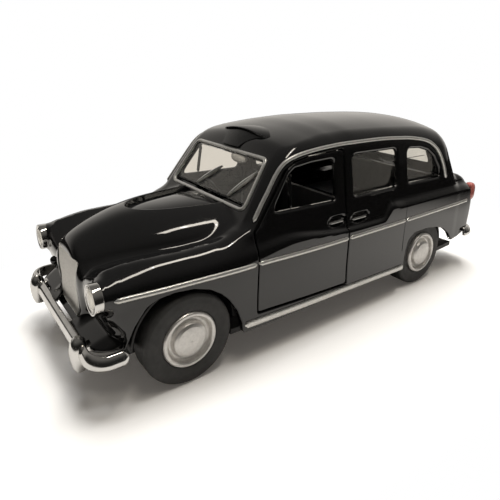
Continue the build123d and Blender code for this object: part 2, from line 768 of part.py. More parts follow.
def sides(pair):
    """The left and right solid of a pair."""
    found = sorted(pair.solids(), key=lambda s: -s.volume)[:2]
    return sorted(found, key=lambda s: -s.center().Y)


def dome_arc(radius, base, rise):
    """An arc from the rim of a dome to its top, with its centre on the axis."""
    ball = (radius ** 2 + rise ** 2) / (2 * rise)
    mid = radius / 2
    height = base + rise - ball + math.sqrt(ball ** 2 - mid ** 2)
    return ThreePointArc((radius, base), (mid, height), (0, base + rise))


def make_tyre():
    """A plain tyre with rounded shoulders, turned about its axle."""
    inner = HUB_RADIUS + HUB_SEAT_CLEARANCE
    face = TYRE_FACE_Y
    back = TYRE_FACE_Y - TYRE_WIDTH
    r = TYRE_SHOULDER
    k = r * (1 - math.sqrt(0.5))
    outline = make_face([
        Line((inner, back), (TYRE_RADIUS - r, back)),
        ThreePointArc((TYRE_RADIUS - r, back), (TYRE_RADIUS - k, back + k), (TYRE_RADIUS, back + r)),
        Line((TYRE_RADIUS, back + r), (TYRE_RADIUS, face - r)),
        ThreePointArc((TYRE_RADIUS, face - r), (TYRE_RADIUS - k, face - k), (TYRE_RADIUS - r, face)),
        Line((TYRE_RADIUS - r, face), (inner, face - 0.3)),
        Line((inner, face - 0.3), (inner, back)),
    ])
    return revolve(outline, Axis.Y)


def make_hub():
    """A wheel disc: bright outer ring, recess and a low domed cap."""
    face = TYRE_FACE_Y
    back = face - HUB_DISC
    ring_in = HUB_RADIUS - HUB_RING
    groove = face - HUB_GROOVE_DEPTH
    cap_edge = face - 0.2
    cap_top = face - 0.2 + HUB_CAP_RISE
    outline = make_face([
        Line((0, back), (HUB_RADIUS, back)),
        Line((HUB_RADIUS, back), (HUB_RADIUS, face - 0.3)),
        ThreePointArc((HUB_RADIUS, face - 0.3), (HUB_RADIUS - HUB_RING / 2, face), (ring_in, face - 0.3)),
        Line((ring_in, face - 0.3), (ring_in - 0.4, groove)),
        Line((ring_in - 0.4, groove), (HUB_CAP_RADIUS, groove)),
        Line((HUB_CAP_RADIUS, groove), (HUB_CAP_RADIUS, cap_edge)),
        dome_arc(HUB_CAP_RADIUS, cap_edge, HUB_CAP_RISE),
        Line((0, cap_top), (0, back)),
    ])
    return revolve(outline, Axis.Y)


def make_axle():
    rod = Rot(90, 0, 0) * Cylinder(AXLE_RADIUS, 2 * AXLE_END_Y)
    return rod


def make_base():
    """The base plate, notched for the wheels, with the axle cradles standing on it."""
    top = BASE_BOTTOM_Z + BASE_THICKNESS
    plate = Pos((BASE_FRONT_X + BASE_REAR_X) / 2, 0, BASE_BOTTOM_Z + BASE_THICKNESS / 2) * Box(
        BASE_FRONT_X - BASE_REAR_X, 2 * BODY_HALF_WIDTH, BASE_THICKNESS)
    plate = plate & lower_form(WALL + BASE_CLEARANCE)
    notch_in = TYRE_FACE_Y - TYRE_WIDTH - WHEEL_CLEARANCE
    for x in (FRONT_AXLE_X, REAR_AXLE_X):
        for side in (1, -1):
            notch = Pos(x, side * (notch_in + 15), BASE_BOTTOM_Z) * Box(
                2 * (TYRE_RADIUS + WHEEL_CLEARANCE), 30, 10)
            plate = plate - notch
        for side in (1, -1):
            height = TYRE_RADIUS + AXLE_RADIUS + CRADLE_CAP - top
            cradle = Pos(x, side * CRADLE_Y, top + height / 2) * Box(CRADLE_LENGTH, CRADLE_THICKNESS, height)
            plate = plate + cradle
        bore = Pos(x, 0, TYRE_RADIUS) * Rot(90, 0, 0) * Cylinder(AXLE_RADIUS + AXLE_BORE_CLEARANCE, 60)
        plate = plate - bore
    tunnel = Pos(0, 0, top + TUNNEL_HEIGHT / 2) * Box(46.0, 6.0, TUNNEL_HEIGHT)
    return plate + tunnel


def make_tub():
    """Floor, driver's seat, partition, bench and dashboard in one moulding."""
    half = TUB_HALF_WIDTH
    inner = TYRE_FACE_Y - TYRE_WIDTH - WHEEL_CLEARANCE
    top = FLOOR_Z + FLOOR_THICKNESS
    floor = Pos((FLOOR_FRONT_X + FLOOR_REAR_X) / 2, 0, FLOOR_Z + FLOOR_THICKNESS / 2) * Box(
        FLOOR_FRONT_X - FLOOR_REAR_X, 2 * half, FLOOR_THICKNESS)
    seat = Pos(SEAT_X, SEAT_Y, top + 4.0) * Box(10.0, 12.0, 8.0)
    back = Pos(SEAT_X - 5.6, SEAT_Y, top + 10.0) * Rot(0, -8, 0) * Box(2.4, 12.0, 18.0)
    partition = Pos(PARTITION_X, 0, top + 10.0) * Box(1.2, 2 * half, 20.0)
    riser = Pos(BENCH_FRONT_X - 0.6, 0, (top + BENCH_Z) / 2) * Box(1.2, 2 * inner, BENCH_Z - top)
    footing = Pos((BENCH_FRONT_X + FLOOR_REAR_X) / 2, 0, FLOOR_Z + FLOOR_THICKNESS / 2) * Box(
        FLOOR_REAR_X - BENCH_FRONT_X + 2.4, 2 * inner, FLOOR_THICKNESS)
    bench = Pos(BENCH_FRONT_X - BENCH_DEPTH / 2, 0, BENCH_Z) * Box(BENCH_DEPTH, 2 * half, 1.6)
    rest = Pos(BENCH_FRONT_X - BENCH_DEPTH, 0, BENCH_Z + 5.0) * Rot(0, -6, 0) * Box(2.6, 2 * half - 2.0, 11.0)
    dash = Pos(DASH_X, 0, 25.0) * Box(2.4, 2 * half - 2.0, 5.0)
    dash_leg = Pos(DASH_X, 0, (top + 24.0) / 2) * Box(1.2, 8.0, 24.0 - top)
    return floor + seat + back + partition + riser + footing + bench + rest + dash + dash_leg


def make_steering_wheel():
    ring = Torus(STEERING_RADIUS, 0.35)
    boss = Cylinder(0.8, 0.8)
    spokes = Box(2 * STEERING_RADIUS, 0.6, 0.4) + Box(0.6, 2 * STEERING_RADIUS, 0.4)
    column = Pos(0, 0, -2.2) * Cylinder(0.55, 4.4)
    wheel = ring + boss + spokes + column
    return Pos(DASH_X - 4.6, SEAT_Y, 27.6) * Rot(0, -62, 0) * wheel


def slab_between(x_of_z, t_from, t_to, z_low, z_high):
    """A leaning slab behind the front or rear plane of the cabin."""
    return prism_y(chain([
        (x_of_z(z_low) - t_from, z_low), (x_of_z(z_high) - t_from, z_high),
        (x_of_z(z_high) - t_to, z_high), (x_of_z(z_low) - t_to, z_low)]))


def make_windscreen():
    """A flat pane that fills the opening."""
    opening = windscreen_cut(-GLASS_GAP)
    return opening & slab_between(screen_x, GLASS_SET_IN, GLASS_SET_IN + GLASS_THICKNESS, 28, 41.0)


def make_rear_glass():
    opening = rear_screen_cut(-GLASS_GAP)
    return opening & slab_between(rear_x, -GLASS_SET_IN, -GLASS_SET_IN - GLASS_THICKNESS, 28, 41.0)


def make_side_glass():
    """Both panes of each rear side, flush inside the wall."""
    band = cabin(GLASS_SET_IN) - cabin(GLASS_SET_IN + GLASS_THICKNESS)
    panes = (rear_door_window(-GLASS_GAP) + quarter_window(-GLASS_GAP)) & band
    return both_sides(panes, WINDOW_FROM_Y)


def make_grille():
    x = BONNET_SECTIONS[-1][0] - GRILLE_RECESS
    plate = grille_shape(0, x - GRILLE_THICKNESS, x)
    return plate


def make_headlamp_bezel():
    """A chrome ring on a bowl that is seated in the pod."""
    x = HEADLAMP_FRONT_X
    bowl = Pos(x - HEADLAMP_DEPTH / 2, HEADLAMP_Y, HEADLAMP_Z) * Rot(0, 90, 0) * Cylinder(
        HEADLAMP_BOWL_RADIUS, HEADLAMP_DEPTH)
    ring = Pos(x - HEADLAMP_RING / 2 + LAMP_FIT / 2, HEADLAMP_Y, HEADLAMP_Z) * Rot(0, 90, 0) * Cylinder(
        HEADLAMP_RADIUS, HEADLAMP_RING - LAMP_FIT)
    ring = fillet(ring.edges().filter_by(GeomType.CIRCLE).sort_by(Axis.X)[-1], HEADLAMP_BEZEL)
    cup = Pos(x, HEADLAMP_Y, HEADLAMP_Z) * Rot(0, 90, 0) * Cylinder(
        HEADLAMP_RADIUS - HEADLAMP_BEZEL, 2 * HEADLAMP_CUP)
    return ring + bowl - cup


def make_headlamp_lens():
    r = HEADLAMP_RADIUS - HEADLAMP_BEZEL - GLASS_GAP
    x = HEADLAMP_FRONT_X - HEADLAMP_CUP
    edge = HEADLAMP_CUP - GLASS_GAP
    outline = make_face([
        Line((0, 0), (r, 0)),
        Line((r, 0), (r, edge)),
        dome_arc(r, edge, LENS_RISE),
        Line((0, edge + LENS_RISE), (0, 0)),
    ])
    lens = revolve(outline, Axis.Y)
    return Pos(x, HEADLAMP_Y, HEADLAMP_Z) * Rot(0, 0, -90) * lens


def bumper_bar(x_face, facing, z, reach, wrap):
    """A wrapped bumper bar with over-riders, on two brackets that reach the body."""
    half = BUMPER_HALF_WIDTH
    bar = None
    for inset in (0, BUMPER_DEPTH):
        corner = BUMPER_CORNER - inset
        block = Pos(-20 - inset, 0, 0) * Box(40, 2 * (half - inset), BUMPER_HEIGHT + 2 * inset)
        block = fillet(block.edges().filter_by(Axis.Z).sort_by(Axis.X)[-2:], corner)
        bar = block if bar is None else bar - block
    bar = bar & Pos(-wrap / 2, 0, 0) * Box(wrap, 4 * half, 2 * BUMPER_HEIGHT)
    for side in (1, -1):
        rider_height = OVERRIDER_TOP_Z - OVERRIDER_BOTTOM_Z
        rider = Pos(OVERRIDER_PROUD - OVERRIDER_DEPTH / 2, side * OVERRIDER_Y,
                    (OVERRIDER_BOTTOM_Z + OVERRIDER_TOP_Z) / 2 - BUMPER_Z) * Box(
            OVERRIDER_DEPTH, OVERRIDER_WIDTH, rider_height)
        rider = fillet(rider.edges().filter_by(Axis.Y), OVERRIDER_ROUND)
        bracket = Pos(-reach / 2, side * OVERRIDER_Y, 0) * Box(reach, BRACKET_WIDTH, BRACKET_HEIGHT)
        bar = bar + rider + bracket
    turn = 0 if facing > 0 else 180
    return Pos(x_face, 0, z) * Rot(0, 0, turn) * bar


def make_roof_sign():
    """A crowned cap with a thin lip over a face that narrows down to the windscreen."""
    cap = prism_x([
        ((-SIGN_TOP_HALF, SIGN_RIM_Z - SIGN_CAP_HEIGHT), (0, SIGN_RIM_Z), (SIGN_TOP_HALF, SIGN_RIM_Z - SIGN_CAP_HEIGHT)),
        ((SIGN_TOP_HALF, SIGN_RIM_Z - SIGN_CAP_HEIGHT), (-SIGN_TOP_HALF, SIGN_RIM_Z - SIGN_CAP_HEIGHT)),
    ], SIGN_REAR_X, SIGN_RIM_X + SIGN_CAP_LIP)
    face_top = SIGN_RIM_Z - SIGN_CAP_LIP
    wedge = prism_y(chain([
        (SIGN_REAR_X, face_top), (SIGN_RIM_X, face_top), (SIGN_FOOT_X, SIGN_FOOT_Z), (SIGN_REAR_X, SIGN_FOOT_Z)]),
        SIGN_TOP_HALF)
    taper = prism_x(chain([
        (-SIGN_TOP_HALF, face_top), (SIGN_TOP_HALF, face_top), (SIGN_FOOT_HALF, SIGN_FOOT_Z),
        (-SIGN_FOOT_HALF, SIGN_FOOT_Z)]), SIGN_REAR_X, SIGN_FOOT_X)
    return main_piece(cap + (wedge & taper) - cabin(0))


def save(shape, name):
    """Writes one node, with the origin moved under the middle of the whole cab."""
    rear_end = REAR_BUMPER_X + OVERRIDER_PROUD
    front_end = BUMPER_X + OVERRIDER_PROUD
    export_step(Pos((rear_end - front_end) / 2, 0, 0) * shape, "parts/" + name + ".step")


if __name__ == "__main__":
    os.makedirs("parts", exist_ok=True)
    outer = form(0)
    body, doors = make_body(outer)
    save(body, "body_shell")
    for name, leaf in zip(("front_door_left", "front_door_right"), sides(doors)):
        save(leaf, name)
    tyre = make_tyre()
    hub = make_hub()
    for place, x in (("front", FRONT_AXLE_X), ("rear", REAR_AXLE_X)):
        at = Pos(x, 0, TYRE_RADIUS)
        save(at * make_axle(), place + "_axle")
        for side, mirrored_copy in (("left", False), ("right", True)):
            for name, piece in (("tyre", tyre), ("hub", hub)):
                piece = piece.mirror(Plane.XZ) if mirrored_copy else piece
                save(at * piece, name + "_" + place + "_" + side)
    save(make_base(), "chassis_base")
    tub = make_tub()
    save(tub, "interior_tub")
    save(make_steering_wheel() - tub, "steering_wheel")
    save(make_windscreen(), "windscreen_glass")
    save(make_rear_glass(), "rear_window_glass")
    glass = make_side_glass()
    left_glass = [s for s in glass.solids() if s.center().Y > 0]
    right_glass = [s for s in glass.solids() if s.center().Y < 0]
    save(Compound(left_glass), "side_glass_left")
    save(Compound(right_glass), "side_glass_right")
    save(make_grille(), "grille")
    for name, maker in (("headlamp_bezel", make_headlamp_bezel), ("headlamp_lens", make_headlamp_lens)):
        piece = maker()
        save(piece, name + "_left")
        save(piece.mirror(Plane.XZ), name + "_right")
    for name, lens in zip(("tail_lamp_left", "tail_lamp_right"), sides(tail_lamp_shape(0))):
        save(lens, name)
    front_bar = bumper_bar(BUMPER_X, 1, BUMPER_Z, BRACKET_REACH, FRONT_WRAP)
    rear_bar = bumper_bar(-REAR_BUMPER_X, -1, REAR_BUMPER_Z, REAR_BRACKET_REACH, REAR_WRAP)
    save(front_bar - outer, "front_bumper")
    save(rear_bar - outer, "rear_bumper")
    save(make_roof_sign(), "roof_sign")
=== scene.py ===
import json
import math

import bpy
import numpy as np
from mathutils import Matrix, Vector


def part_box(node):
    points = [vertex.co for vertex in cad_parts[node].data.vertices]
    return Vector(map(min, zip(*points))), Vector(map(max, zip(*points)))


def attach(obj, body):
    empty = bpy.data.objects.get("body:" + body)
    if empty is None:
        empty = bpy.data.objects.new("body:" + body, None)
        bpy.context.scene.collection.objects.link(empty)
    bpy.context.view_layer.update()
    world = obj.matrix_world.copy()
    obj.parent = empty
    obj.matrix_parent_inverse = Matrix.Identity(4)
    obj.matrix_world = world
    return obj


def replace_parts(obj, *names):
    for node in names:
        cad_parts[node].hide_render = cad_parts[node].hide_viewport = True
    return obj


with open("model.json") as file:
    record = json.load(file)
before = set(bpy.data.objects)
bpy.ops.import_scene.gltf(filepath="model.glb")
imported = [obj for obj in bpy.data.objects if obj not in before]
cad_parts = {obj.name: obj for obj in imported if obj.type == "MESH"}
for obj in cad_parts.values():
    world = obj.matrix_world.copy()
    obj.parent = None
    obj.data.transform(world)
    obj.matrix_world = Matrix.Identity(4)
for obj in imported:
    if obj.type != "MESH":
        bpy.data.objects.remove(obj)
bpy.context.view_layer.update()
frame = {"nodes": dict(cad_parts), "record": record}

# Lengths are millimetres in the cab's own frame, +X forward, +Y left, +Z up, until a mesh is made.
MM = 0.001
FRONT_AXLE_X = 40.3
WHEELBASE = 73.7
REAR_AXLE_X = FRONT_AXLE_X - WHEELBASE
AXLE_LOW, AXLE_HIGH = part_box("front_axle")
SHIFT_X = (AXLE_LOW.x + AXLE_HIGH.x) / 2 / MM - FRONT_AXLE_X

# Cast body
WALL = 1.2
AXLE_Z = 9.4
WAIST_Z = 20.8
SIDE_FROM_Y = 12.0
BELT_Z = 29.0
STEP_IN = 1.5
PANEL_Z = 23.0
UPPER_LEAN = 0.12
NOSE_X = 55.9
NOSE_BOTTOM_Z = 9.6
GRID_STEP = 0.5
INNER_STEP = 1.1

# Half width of the flanks along the cab, from tail to nose
PLAN = ((-59.6, 21.0), (-55.0, 21.3), (-40.0, 21.6), (-25.0, 21.9), (-2.0, 22.25), (14.0, 22.5),
        (28.0, 22.5), (38.0, 22.05), (44.0, 21.6), (48.0, 21.05), (53.8, 19.7), (57.0, 18.6))
# Height of the raised panel and the wing crests along the cab, and the radius of their edges
CREST = ((-60.0, 23.6), (-58.2, 24.6), (-56.4, 25.8), (-53.0, 26.2), (-40.0, 26.3), (-20.4, 26.3),
         (-18.9, 26.1), (-15.6, 22.95), (-14.2, 22.8), (-2.0, 23.0), (5.0, 23.7), (11.0, 24.6), (18.0, 25.7),
         (25.0, 26.0), (33.0, 25.6), (39.0, 25.3), (45.3, 25.3), (49.5, 25.0), (52.2, 24.4), (54.7, 23.0),
         (56.5, 21.0))
CREST_ROUND = ((-60.0, 2.0), (-25.0, 2.0), (-18.0, 1.2), (-14.0, 0.9), (4.0, 0.9), (11.0, 1.3), (18.0, 2.8),
               (25.0, 4.4), (33.0, 5.0), (50.0, 5.0), (56.0, 4.0))
# Front face of the wings and tail face, by height
NOSE_FACE = ((6.0, 51.6), (9.0, 52.4), (12.5, 53.6), (16.0, 54.9), (19.3, 55.8), (22.0, 56.1), (30.0, 56.1))
TAIL_FACE = ((6.0, -57.8), (12.0, -58.9), (18.0, -59.6), (22.0, -59.5), (25.5, -58.0), (29.5, -53.6), (32.0, -50.0))
# How far the flanks tuck under towards the sill, and over what height
TUCK = 0.7
TUCK_HEIGHT = 13.6
# The wings' tops fall inwards by this slope ahead of here, and fully from there
CREST_FALL = 0.36
CREST_FALL_X = (22.0, 30.0)
# Radii that blend one form into the next
BELT_ROUND = 1.8
SCUTTLE_ROUND = 3.0
BONNET_EDGE_ROUND = 2.6
BONNET_NOSE_ROUND = 1.5
WING_NOSE_ROUND = 3.4
TAIL_ROUND = 2.0
PANEL_TO_HULL = 0.9
POD_TO_WING = 1.2
BONNET_TO_WINGS = 1.6
CABIN_TO_BODY = 0.8
# Bonnet, from the scuttle to the nose
BONNET_FROM_X = 8.0
BONNET_HALF = ((18.0, 17.4), (22.5, 16.4), (38.0, 13.4), (48.5, 10.2), (55.9, 7.5))
BONNET_SHOULDER = ((18.0, 27.0), (22.5, 26.9), (38.0, 26.2), (48.5, 24.4), (55.9, 21.8))
BONNET_CROWN = ((18.0, 31.6), (26.0, 31.7), (36.0, 31.4), (44.0, 30.4), (49.0, 29.0), (53.3, 27.2), (55.9, 25.5))
# Windscreen frame, pillars and roof by height: front face, rear face, half width
CABIN_Z = (24.0, 27.0, 34.0, 41.2, 44.5, 48.0)
CABIN_FRONT = (28.3, 26.3, 21.5, 16.7, 15.0, 13.6)
CABIN_REAR = (-54.0, -52.4, -49.2, -46.4, -45.2, -43.4)
CABIN_HALF = (21.1, 20.7, 19.7, 18.5, 17.9, 17.2)
CABIN_FRONT_ROUND = 3.6
CABIN_REAR_ROUND = 4.5
ROOFLINE = ((-60.0, 34.5), (-54.0, 37.8), (-50.0, 40.5), (-46.0, 43.0), (-41.0, 45.0), (-35.0, 46.0), (-28.0, 46.45),
            (-18.0, 46.75), (-8.0, 46.8), (0.0, 46.4), (6.0, 45.5), (10.0, 44.7), (13.0, 43.95), (16.5, 42.7),
            (20.0, 41.0), (30.0, 36.0))
# How far the roof falls towards its edges, and how softly it meets the pillars, along the cab
ROOF_DROP = ((-60.0, 1.7), (-5.0, 1.7), (12.0, 0.9), (30.0, 0.9))
ROOF_EDGE = ((-60.0, 3.0), (-25.0, 3.0), (0.0, 3.6), (12.0, 2.4), (30.0, 2.4))
ROOF_DROP_Y = 14.2
ROOF_DROP_POWER = 2.3


def curve(table):
    """A smooth function of one variable through the points of a table, with no overshoot."""
    x = np.array([p[0] for p in table], float)
    y = np.array([p[1] for p in table], float)
    h = np.diff(x)
    slope = np.diff(y) / h
    m = np.zeros_like(x)
    same = slope[:-1] * slope[1:] > 0
    w1 = 2 * h[1:] + h[:-1]
    w2 = h[1:] + 2 * h[:-1]
    a = np.where(same, slope[:-1], 1.0)
    b = np.where(same, slope[1:], 1.0)
    m[1:-1] = np.where(same, (w1 + w2) / (w1 / a + w2 / b), 0.0)
    m[0], m[-1] = slope[0], slope[-1]

    def at(q):
        q = np.clip(q, x[0], x[-1])
        i = np.clip(np.searchsorted(x, q) - 1, 0, len(h) - 1)
        t = (q - x[i]) / h[i]
        t2, t3 = t * t, t * t * t
        return ((2 * t3 - 3 * t2 + 1) * y[i] + (t3 - 2 * t2 + t) * h[i] * m[i]
                + (3 * t2 - 2 * t3) * y[i + 1] + (t3 - t2) * h[i] * m[i + 1])
    return at


plan_half = curve(PLAN)
crest_z = curve(CREST)
crest_round = curve(CREST_ROUND)
nose_face = curve(NOSE_FACE)
tail_face = curve(TAIL_FACE)
bonnet_half = curve(BONNET_HALF)
bonnet_shoulder = curve(BONNET_SHOULDER)
bonnet_crown = curve(BONNET_CROWN)
cabin_front = curve(tuple(zip(CABIN_Z, CABIN_FRONT)))
cabin_rear = curve(tuple(zip(CABIN_Z, CABIN_REAR)))
cabin_half = curve(tuple(zip(CABIN_Z, CABIN_HALF)))
roofline = curve(ROOFLINE)
roof_drop = curve(ROOF_DROP)
roof_edge = curve(ROOF_EDGE)


def join(a, b, k):
    """Smooth union of two distances."""
    h = np.clip(0.5 + 0.5 * (b - a) / k, 0, 1)
    return b + (a - b) * h - k * h * (1 - h)


def meet(a, b, k):
    """Smooth intersection of two distances."""
    return -join(-a, -b, k)


def flank(x, z):
    """Half width of the lower body: tucked under towards the sill."""
    below = np.clip((WAIST_Z - 0.6 - z) / TUCK_HEIGHT, 0, 1.2)
    return plan_half(x) - TUCK * below ** 2


def raised_panel(x, y, z):
    """Wings, door bottoms and rear quarters: a long box with a rounded upper edge that changes along the cab."""
    r = crest_round(x)
    top = crest_z(x)
    slope = (crest_z(x + 0.3) - crest_z(x - 0.3)) / 0.6
    start, full = CREST_FALL_X
    inner = np.clip((x - start) / (full - start), 0, 1) * CREST_FALL
    side = flank(x, z) - r
    q = y - side
    s = (z - (top - r - inner * np.clip(side - y, 0, 9))) / np.sqrt(1 + slope ** 2 + inner ** 2)
    return np.minimum(np.maximum(q, s), 0) + np.hypot(np.maximum(q, 0), np.maximum(s, 0)) - r


def upper_hull(x, y, z):
    """The upper door panels, the belt and the scuttle sides."""
    half = plan_half(x) - STEP_IN - UPPER_LEAN * (z - PANEL_Z)
    side = (y - half) / math.hypot(1, UPPER_LEAN)
    top = z - BELT_Z
    shape = meet(side, top, BELT_ROUND)
    scuttle = (z - 29.4 + (x - 24.0) * 0.55) * 0.876
    return meet(shape, scuttle, SCUTTLE_ROUND)


def bonnet(x, y, z):
    """The crowned bonnet and the nose."""
    half = bonnet_half(x)
    crown = bonnet_crown(x)
    drop = crown - bonnet_shoulder(x)
    top = (z - crown + drop * np.clip(y / half, 0, 1.5) ** 2.2) / 1.1
    side = y - half - 0.03 * (26 - z)
    shape = meet(top, side, BONNET_EDGE_ROUND)
    shape = meet(shape, x - NOSE_X, BONNET_NOSE_ROUND)
    return np.maximum(np.maximum(shape, NOSE_BOTTOM_Z - z), BONNET_FROM_X - x)


def greenhouse(x, y, z):
    """Pillars and roof."""
    front = cabin_front(z)
    rear = cabin_rear(z)
    half = cabin_half(z)
    r = np.where(x > 0, CABIN_FRONT_ROUND, CABIN_REAR_ROUND)
    u = np.maximum(x - front, rear - x) * 0.84 + r
    v = y - half + r
    tower = np.minimum(np.maximum(u, v), 0) + np.hypot(np.maximum(u, 0), np.maximum(v, 0)) - r
    drop = roof_drop(x) * (np.clip(y / ROOF_DROP_Y, 0, 2)) ** ROOF_DROP_POWER
    slope = (roofline(x + 0.3) - roofline(x - 0.3)) / 0.6
    roof = (z - roofline(x) + drop) / np.sqrt(1.05 + slope ** 2)
    return meet(tower, roof, roof_edge(x))


# Headlamp pods at the front of the wings
LAMP_AT = (17.4, 20.9)
POD_RADIUS = 2.75
POD_X = (44.0, 55.7)


def pods(x, y, z):
    """The round noses that carry the headlamps."""
    away = np.hypot(y - LAMP_AT[0], z - LAMP_AT[1]) - POD_RADIUS
    return meet(away, np.maximum(x - POD_X[1], POD_X[0] - x), 0.6)


# Dishes behind the door pulls: place along the cab, height and half length of each
DISH_AT = ((1.0, 25.1, 2.9), (-7.0, 24.6, 3.3))
DISH_DEPTH = 0.9
DISH_RISE = 1.3


def body_form(p):
    """Signed distance, about, from the outside of the painted casting. Negative is metal or cabin."""
    x, y, z = p[..., 0], np.abs(p[..., 1]), p[..., 2]
    ends = meet(x - nose_face(z), tail_face(z) - x, 1.0)
    panel = meet(raised_panel(x, y, z), x - nose_face(z), WING_NOSE_ROUND)
    low = join(panel, upper_hull(x, y, z), PANEL_TO_HULL)
    low = meet(low, tail_face(z) - x, TAIL_ROUND)
    low = np.maximum(low, ends - 6.0)
    low = join(low, pods(x, y, z), POD_TO_WING)
    shape = join(low, bonnet(x, y, z), BONNET_TO_WINGS)
    shape = join(shape, greenhouse(x, y, z), CABIN_TO_BODY)
    for cx, cz, reach in DISH_AT:
        face = plan_half(np.array(cx)) - STEP_IN - UPPER_LEAN * (cz - PANEL_Z)
        e = np.sqrt(((x - cx) / reach) ** 2 + ((y - face) / DISH_DEPTH) ** 2 + ((z - cz) / DISH_RISE) ** 2)
        shape = meet(shape, (1 - e) * DISH_DEPTH, 0.3)
    return shape


def gradient(form, p, step=0.05):
    g = np.empty_like(p)
    for axis in range(3):
        d = np.zeros(3)
        d[axis] = step
        g[:, axis] = (form(p + d) - form(p - d)) / (2 * step)
    return g


def surface(form, low, high, step):
    """Vertices, normals and triangles of the zero surface of a form, on an even grid."""
    axes = [np.arange(a, b + step, step) for a, b in zip(low, high)]
    grid = np.stack(np.meshgrid(*axes, indexing="ij"), axis=-1)
    field = form(grid)
    inside = field < 0
    shape = np.array(field.shape) - 1
    count = np.zeros(shape, np.int8)
    corners = [(i, j, k) for i in (0, 1) for j in (0, 1) for k in (0, 1)]
    for i, j, k in corners:
        count += inside[i:shape[0] + i, j:shape[1] + j, k:shape[2] + k]
    cells = np.argwhere((count > 0) & (count < 8))
    index = np.full(shape, -1)
    index[tuple(cells.T)] = np.arange(len(cells))
    values = np.stack([field[tuple((cells + c).T)] for c in corners], axis=1)
    total = np.zeros((len(cells), 3))
    hits = np.zeros(len(cells))
    for a in range(8):
        for b in range(a + 1, 8):
            ca, cb = np.array(corners[a]), np.array(corners[b])
            if np.abs(ca - cb).sum() != 1:
                continue
            va, vb = values[:, a], values[:, b]
            cross = (va < 0) != (vb < 0)
            t = np.where(cross, va / np.where(cross, va - vb, 1), 0)
            total += np.where(cross[:, None], ca + t[:, None] * (cb - ca), 0)
            hits += cross
    points = np.array(low) + step * (cells + total / hits[:, None])
    quads = []
    for axis in range(3):
        o1, o2 = [d for d in range(3) if d != axis]
        d = np.zeros(3, int)
        d[axis] = 1
        size = list(field.shape)
        size[axis] -= 1
        first = inside[:size[0], :size[1], :size[2]]
        second = inside[d[0]:size[0] + d[0], d[1]:size[1] + d[1], d[2]:size[2] + d[2]]
        edges = np.argwhere(first != second)
        edges = edges[(edges[:, o1] > 0) & (edges[:, o2] > 0)]
        edges = edges[(edges[:, o1] < shape[o1]) & (edges[:, o2] < shape[o2])]
        around = []
        for s1, s2 in ((-1, -1), (0, -1), (0, 0), (-1, 0)):
            cell = edges.copy()
            cell[:, o1] += s1
            cell[:, o2] += s2
            around.append(index[tuple(cell.T)])
        quad = np.stack(around, axis=1)
        flip = first[tuple(edges.T)]
        if axis == 1:
            flip = ~flip
        quad[~flip] = quad[~flip][:, ::-1]
        quads.append(quad)
    quads = np.concatenate(quads)
    for _ in range(4):
        g = gradient(form, points)
        size2 = np.maximum((g ** 2).sum(1), 0.05)
        move = -form(points)[:, None] * g / size2[:, None]
        length = np.linalg.norm(move, axis=1, keepdims=True)
        points = points + move * np.minimum(1, 0.4 * step / np.maximum(length, 1e-9))
    g = gradient(form, points)
    normals = g / np.maximum(np.linalg.norm(g, axis=1, keepdims=True), 1e-9)
    triangles = np.concatenate([quads[:, [0, 1, 2]], quads[:, [0, 2, 3]]])
    return points, normals, triangles


def rounded(corners, radius, steps=6):
    """A closed 2D outline with each corner rounded."""
    points = []
    corners = [np.array(c, float) for c in corners]
    for i, c in enumerate(corners):
        a = corners[i - 1] - c
        b = corners[(i + 1) % len(corners)] - c
        la, lb = np.linalg.norm(a), np.linalg.norm(b)
        a, b = a / la, b / lb
        angle = math.acos(np.clip(a @ b, -1, 1))
        reach = min(radius / math.tan(angle / 2), 0.48 * la, 0.48 * lb)
        start, end = c + a * reach, c + b * reach
        for k in range(steps + 1):
            t = k / steps
            points.append((1 - t) ** 2 * start + 2 * t * (1 - t) * c + t ** 2 * end)
    return np.array(points)


def outline_distance(points, outline):
    """Signed distance from 2D points to a closed outline, positive outside."""
    best = np.full(len(points), 1e9)
    wind = np.zeros(len(points), bool)
    for a, b in zip(outline, np.roll(outline, -1, axis=0)):
        ab = b - a
        t = np.clip(((points - a) @ ab) / max(ab @ ab, 1e-12), 0, 1)
        d = points - a - t[:, None] * ab
        best = np.minimum(best, (d ** 2).sum(1))
        span = (a[1] > points[:, 1]) != (b[1] > points[:, 1])
        rise = np.where(abs(b[1] - a[1]) < 1e-12, 1e-12, b[1] - a[1])
        hit = points[:, 0] < a[0] + (points[:, 1] - a[1]) * ab[0] / rise
        wind ^= span & hit
    return np.sqrt(best) * np.where(wind, -1, 1)


class Cut:
    """A trim line drawn on one side view, kept outside it, or inside it where keep_inside is set."""

    def __init__(self, outline, plane, where, lip=0.3, keep_inside=False, depth=WALL):
        self.outline = np.asarray(outline, float)
        self.axes = (0, 2) if plane == "side" else (1, 2)
        self.where = where
        self.lip = lip
        self.sign = -1 if keep_inside else 1
        self.depth = depth

    def __call__(self, p):
        d = self.sign * outline_distance(p[:, self.axes], self.outline) - self.lip
        return np.where(self.where(p), d, 50.0)


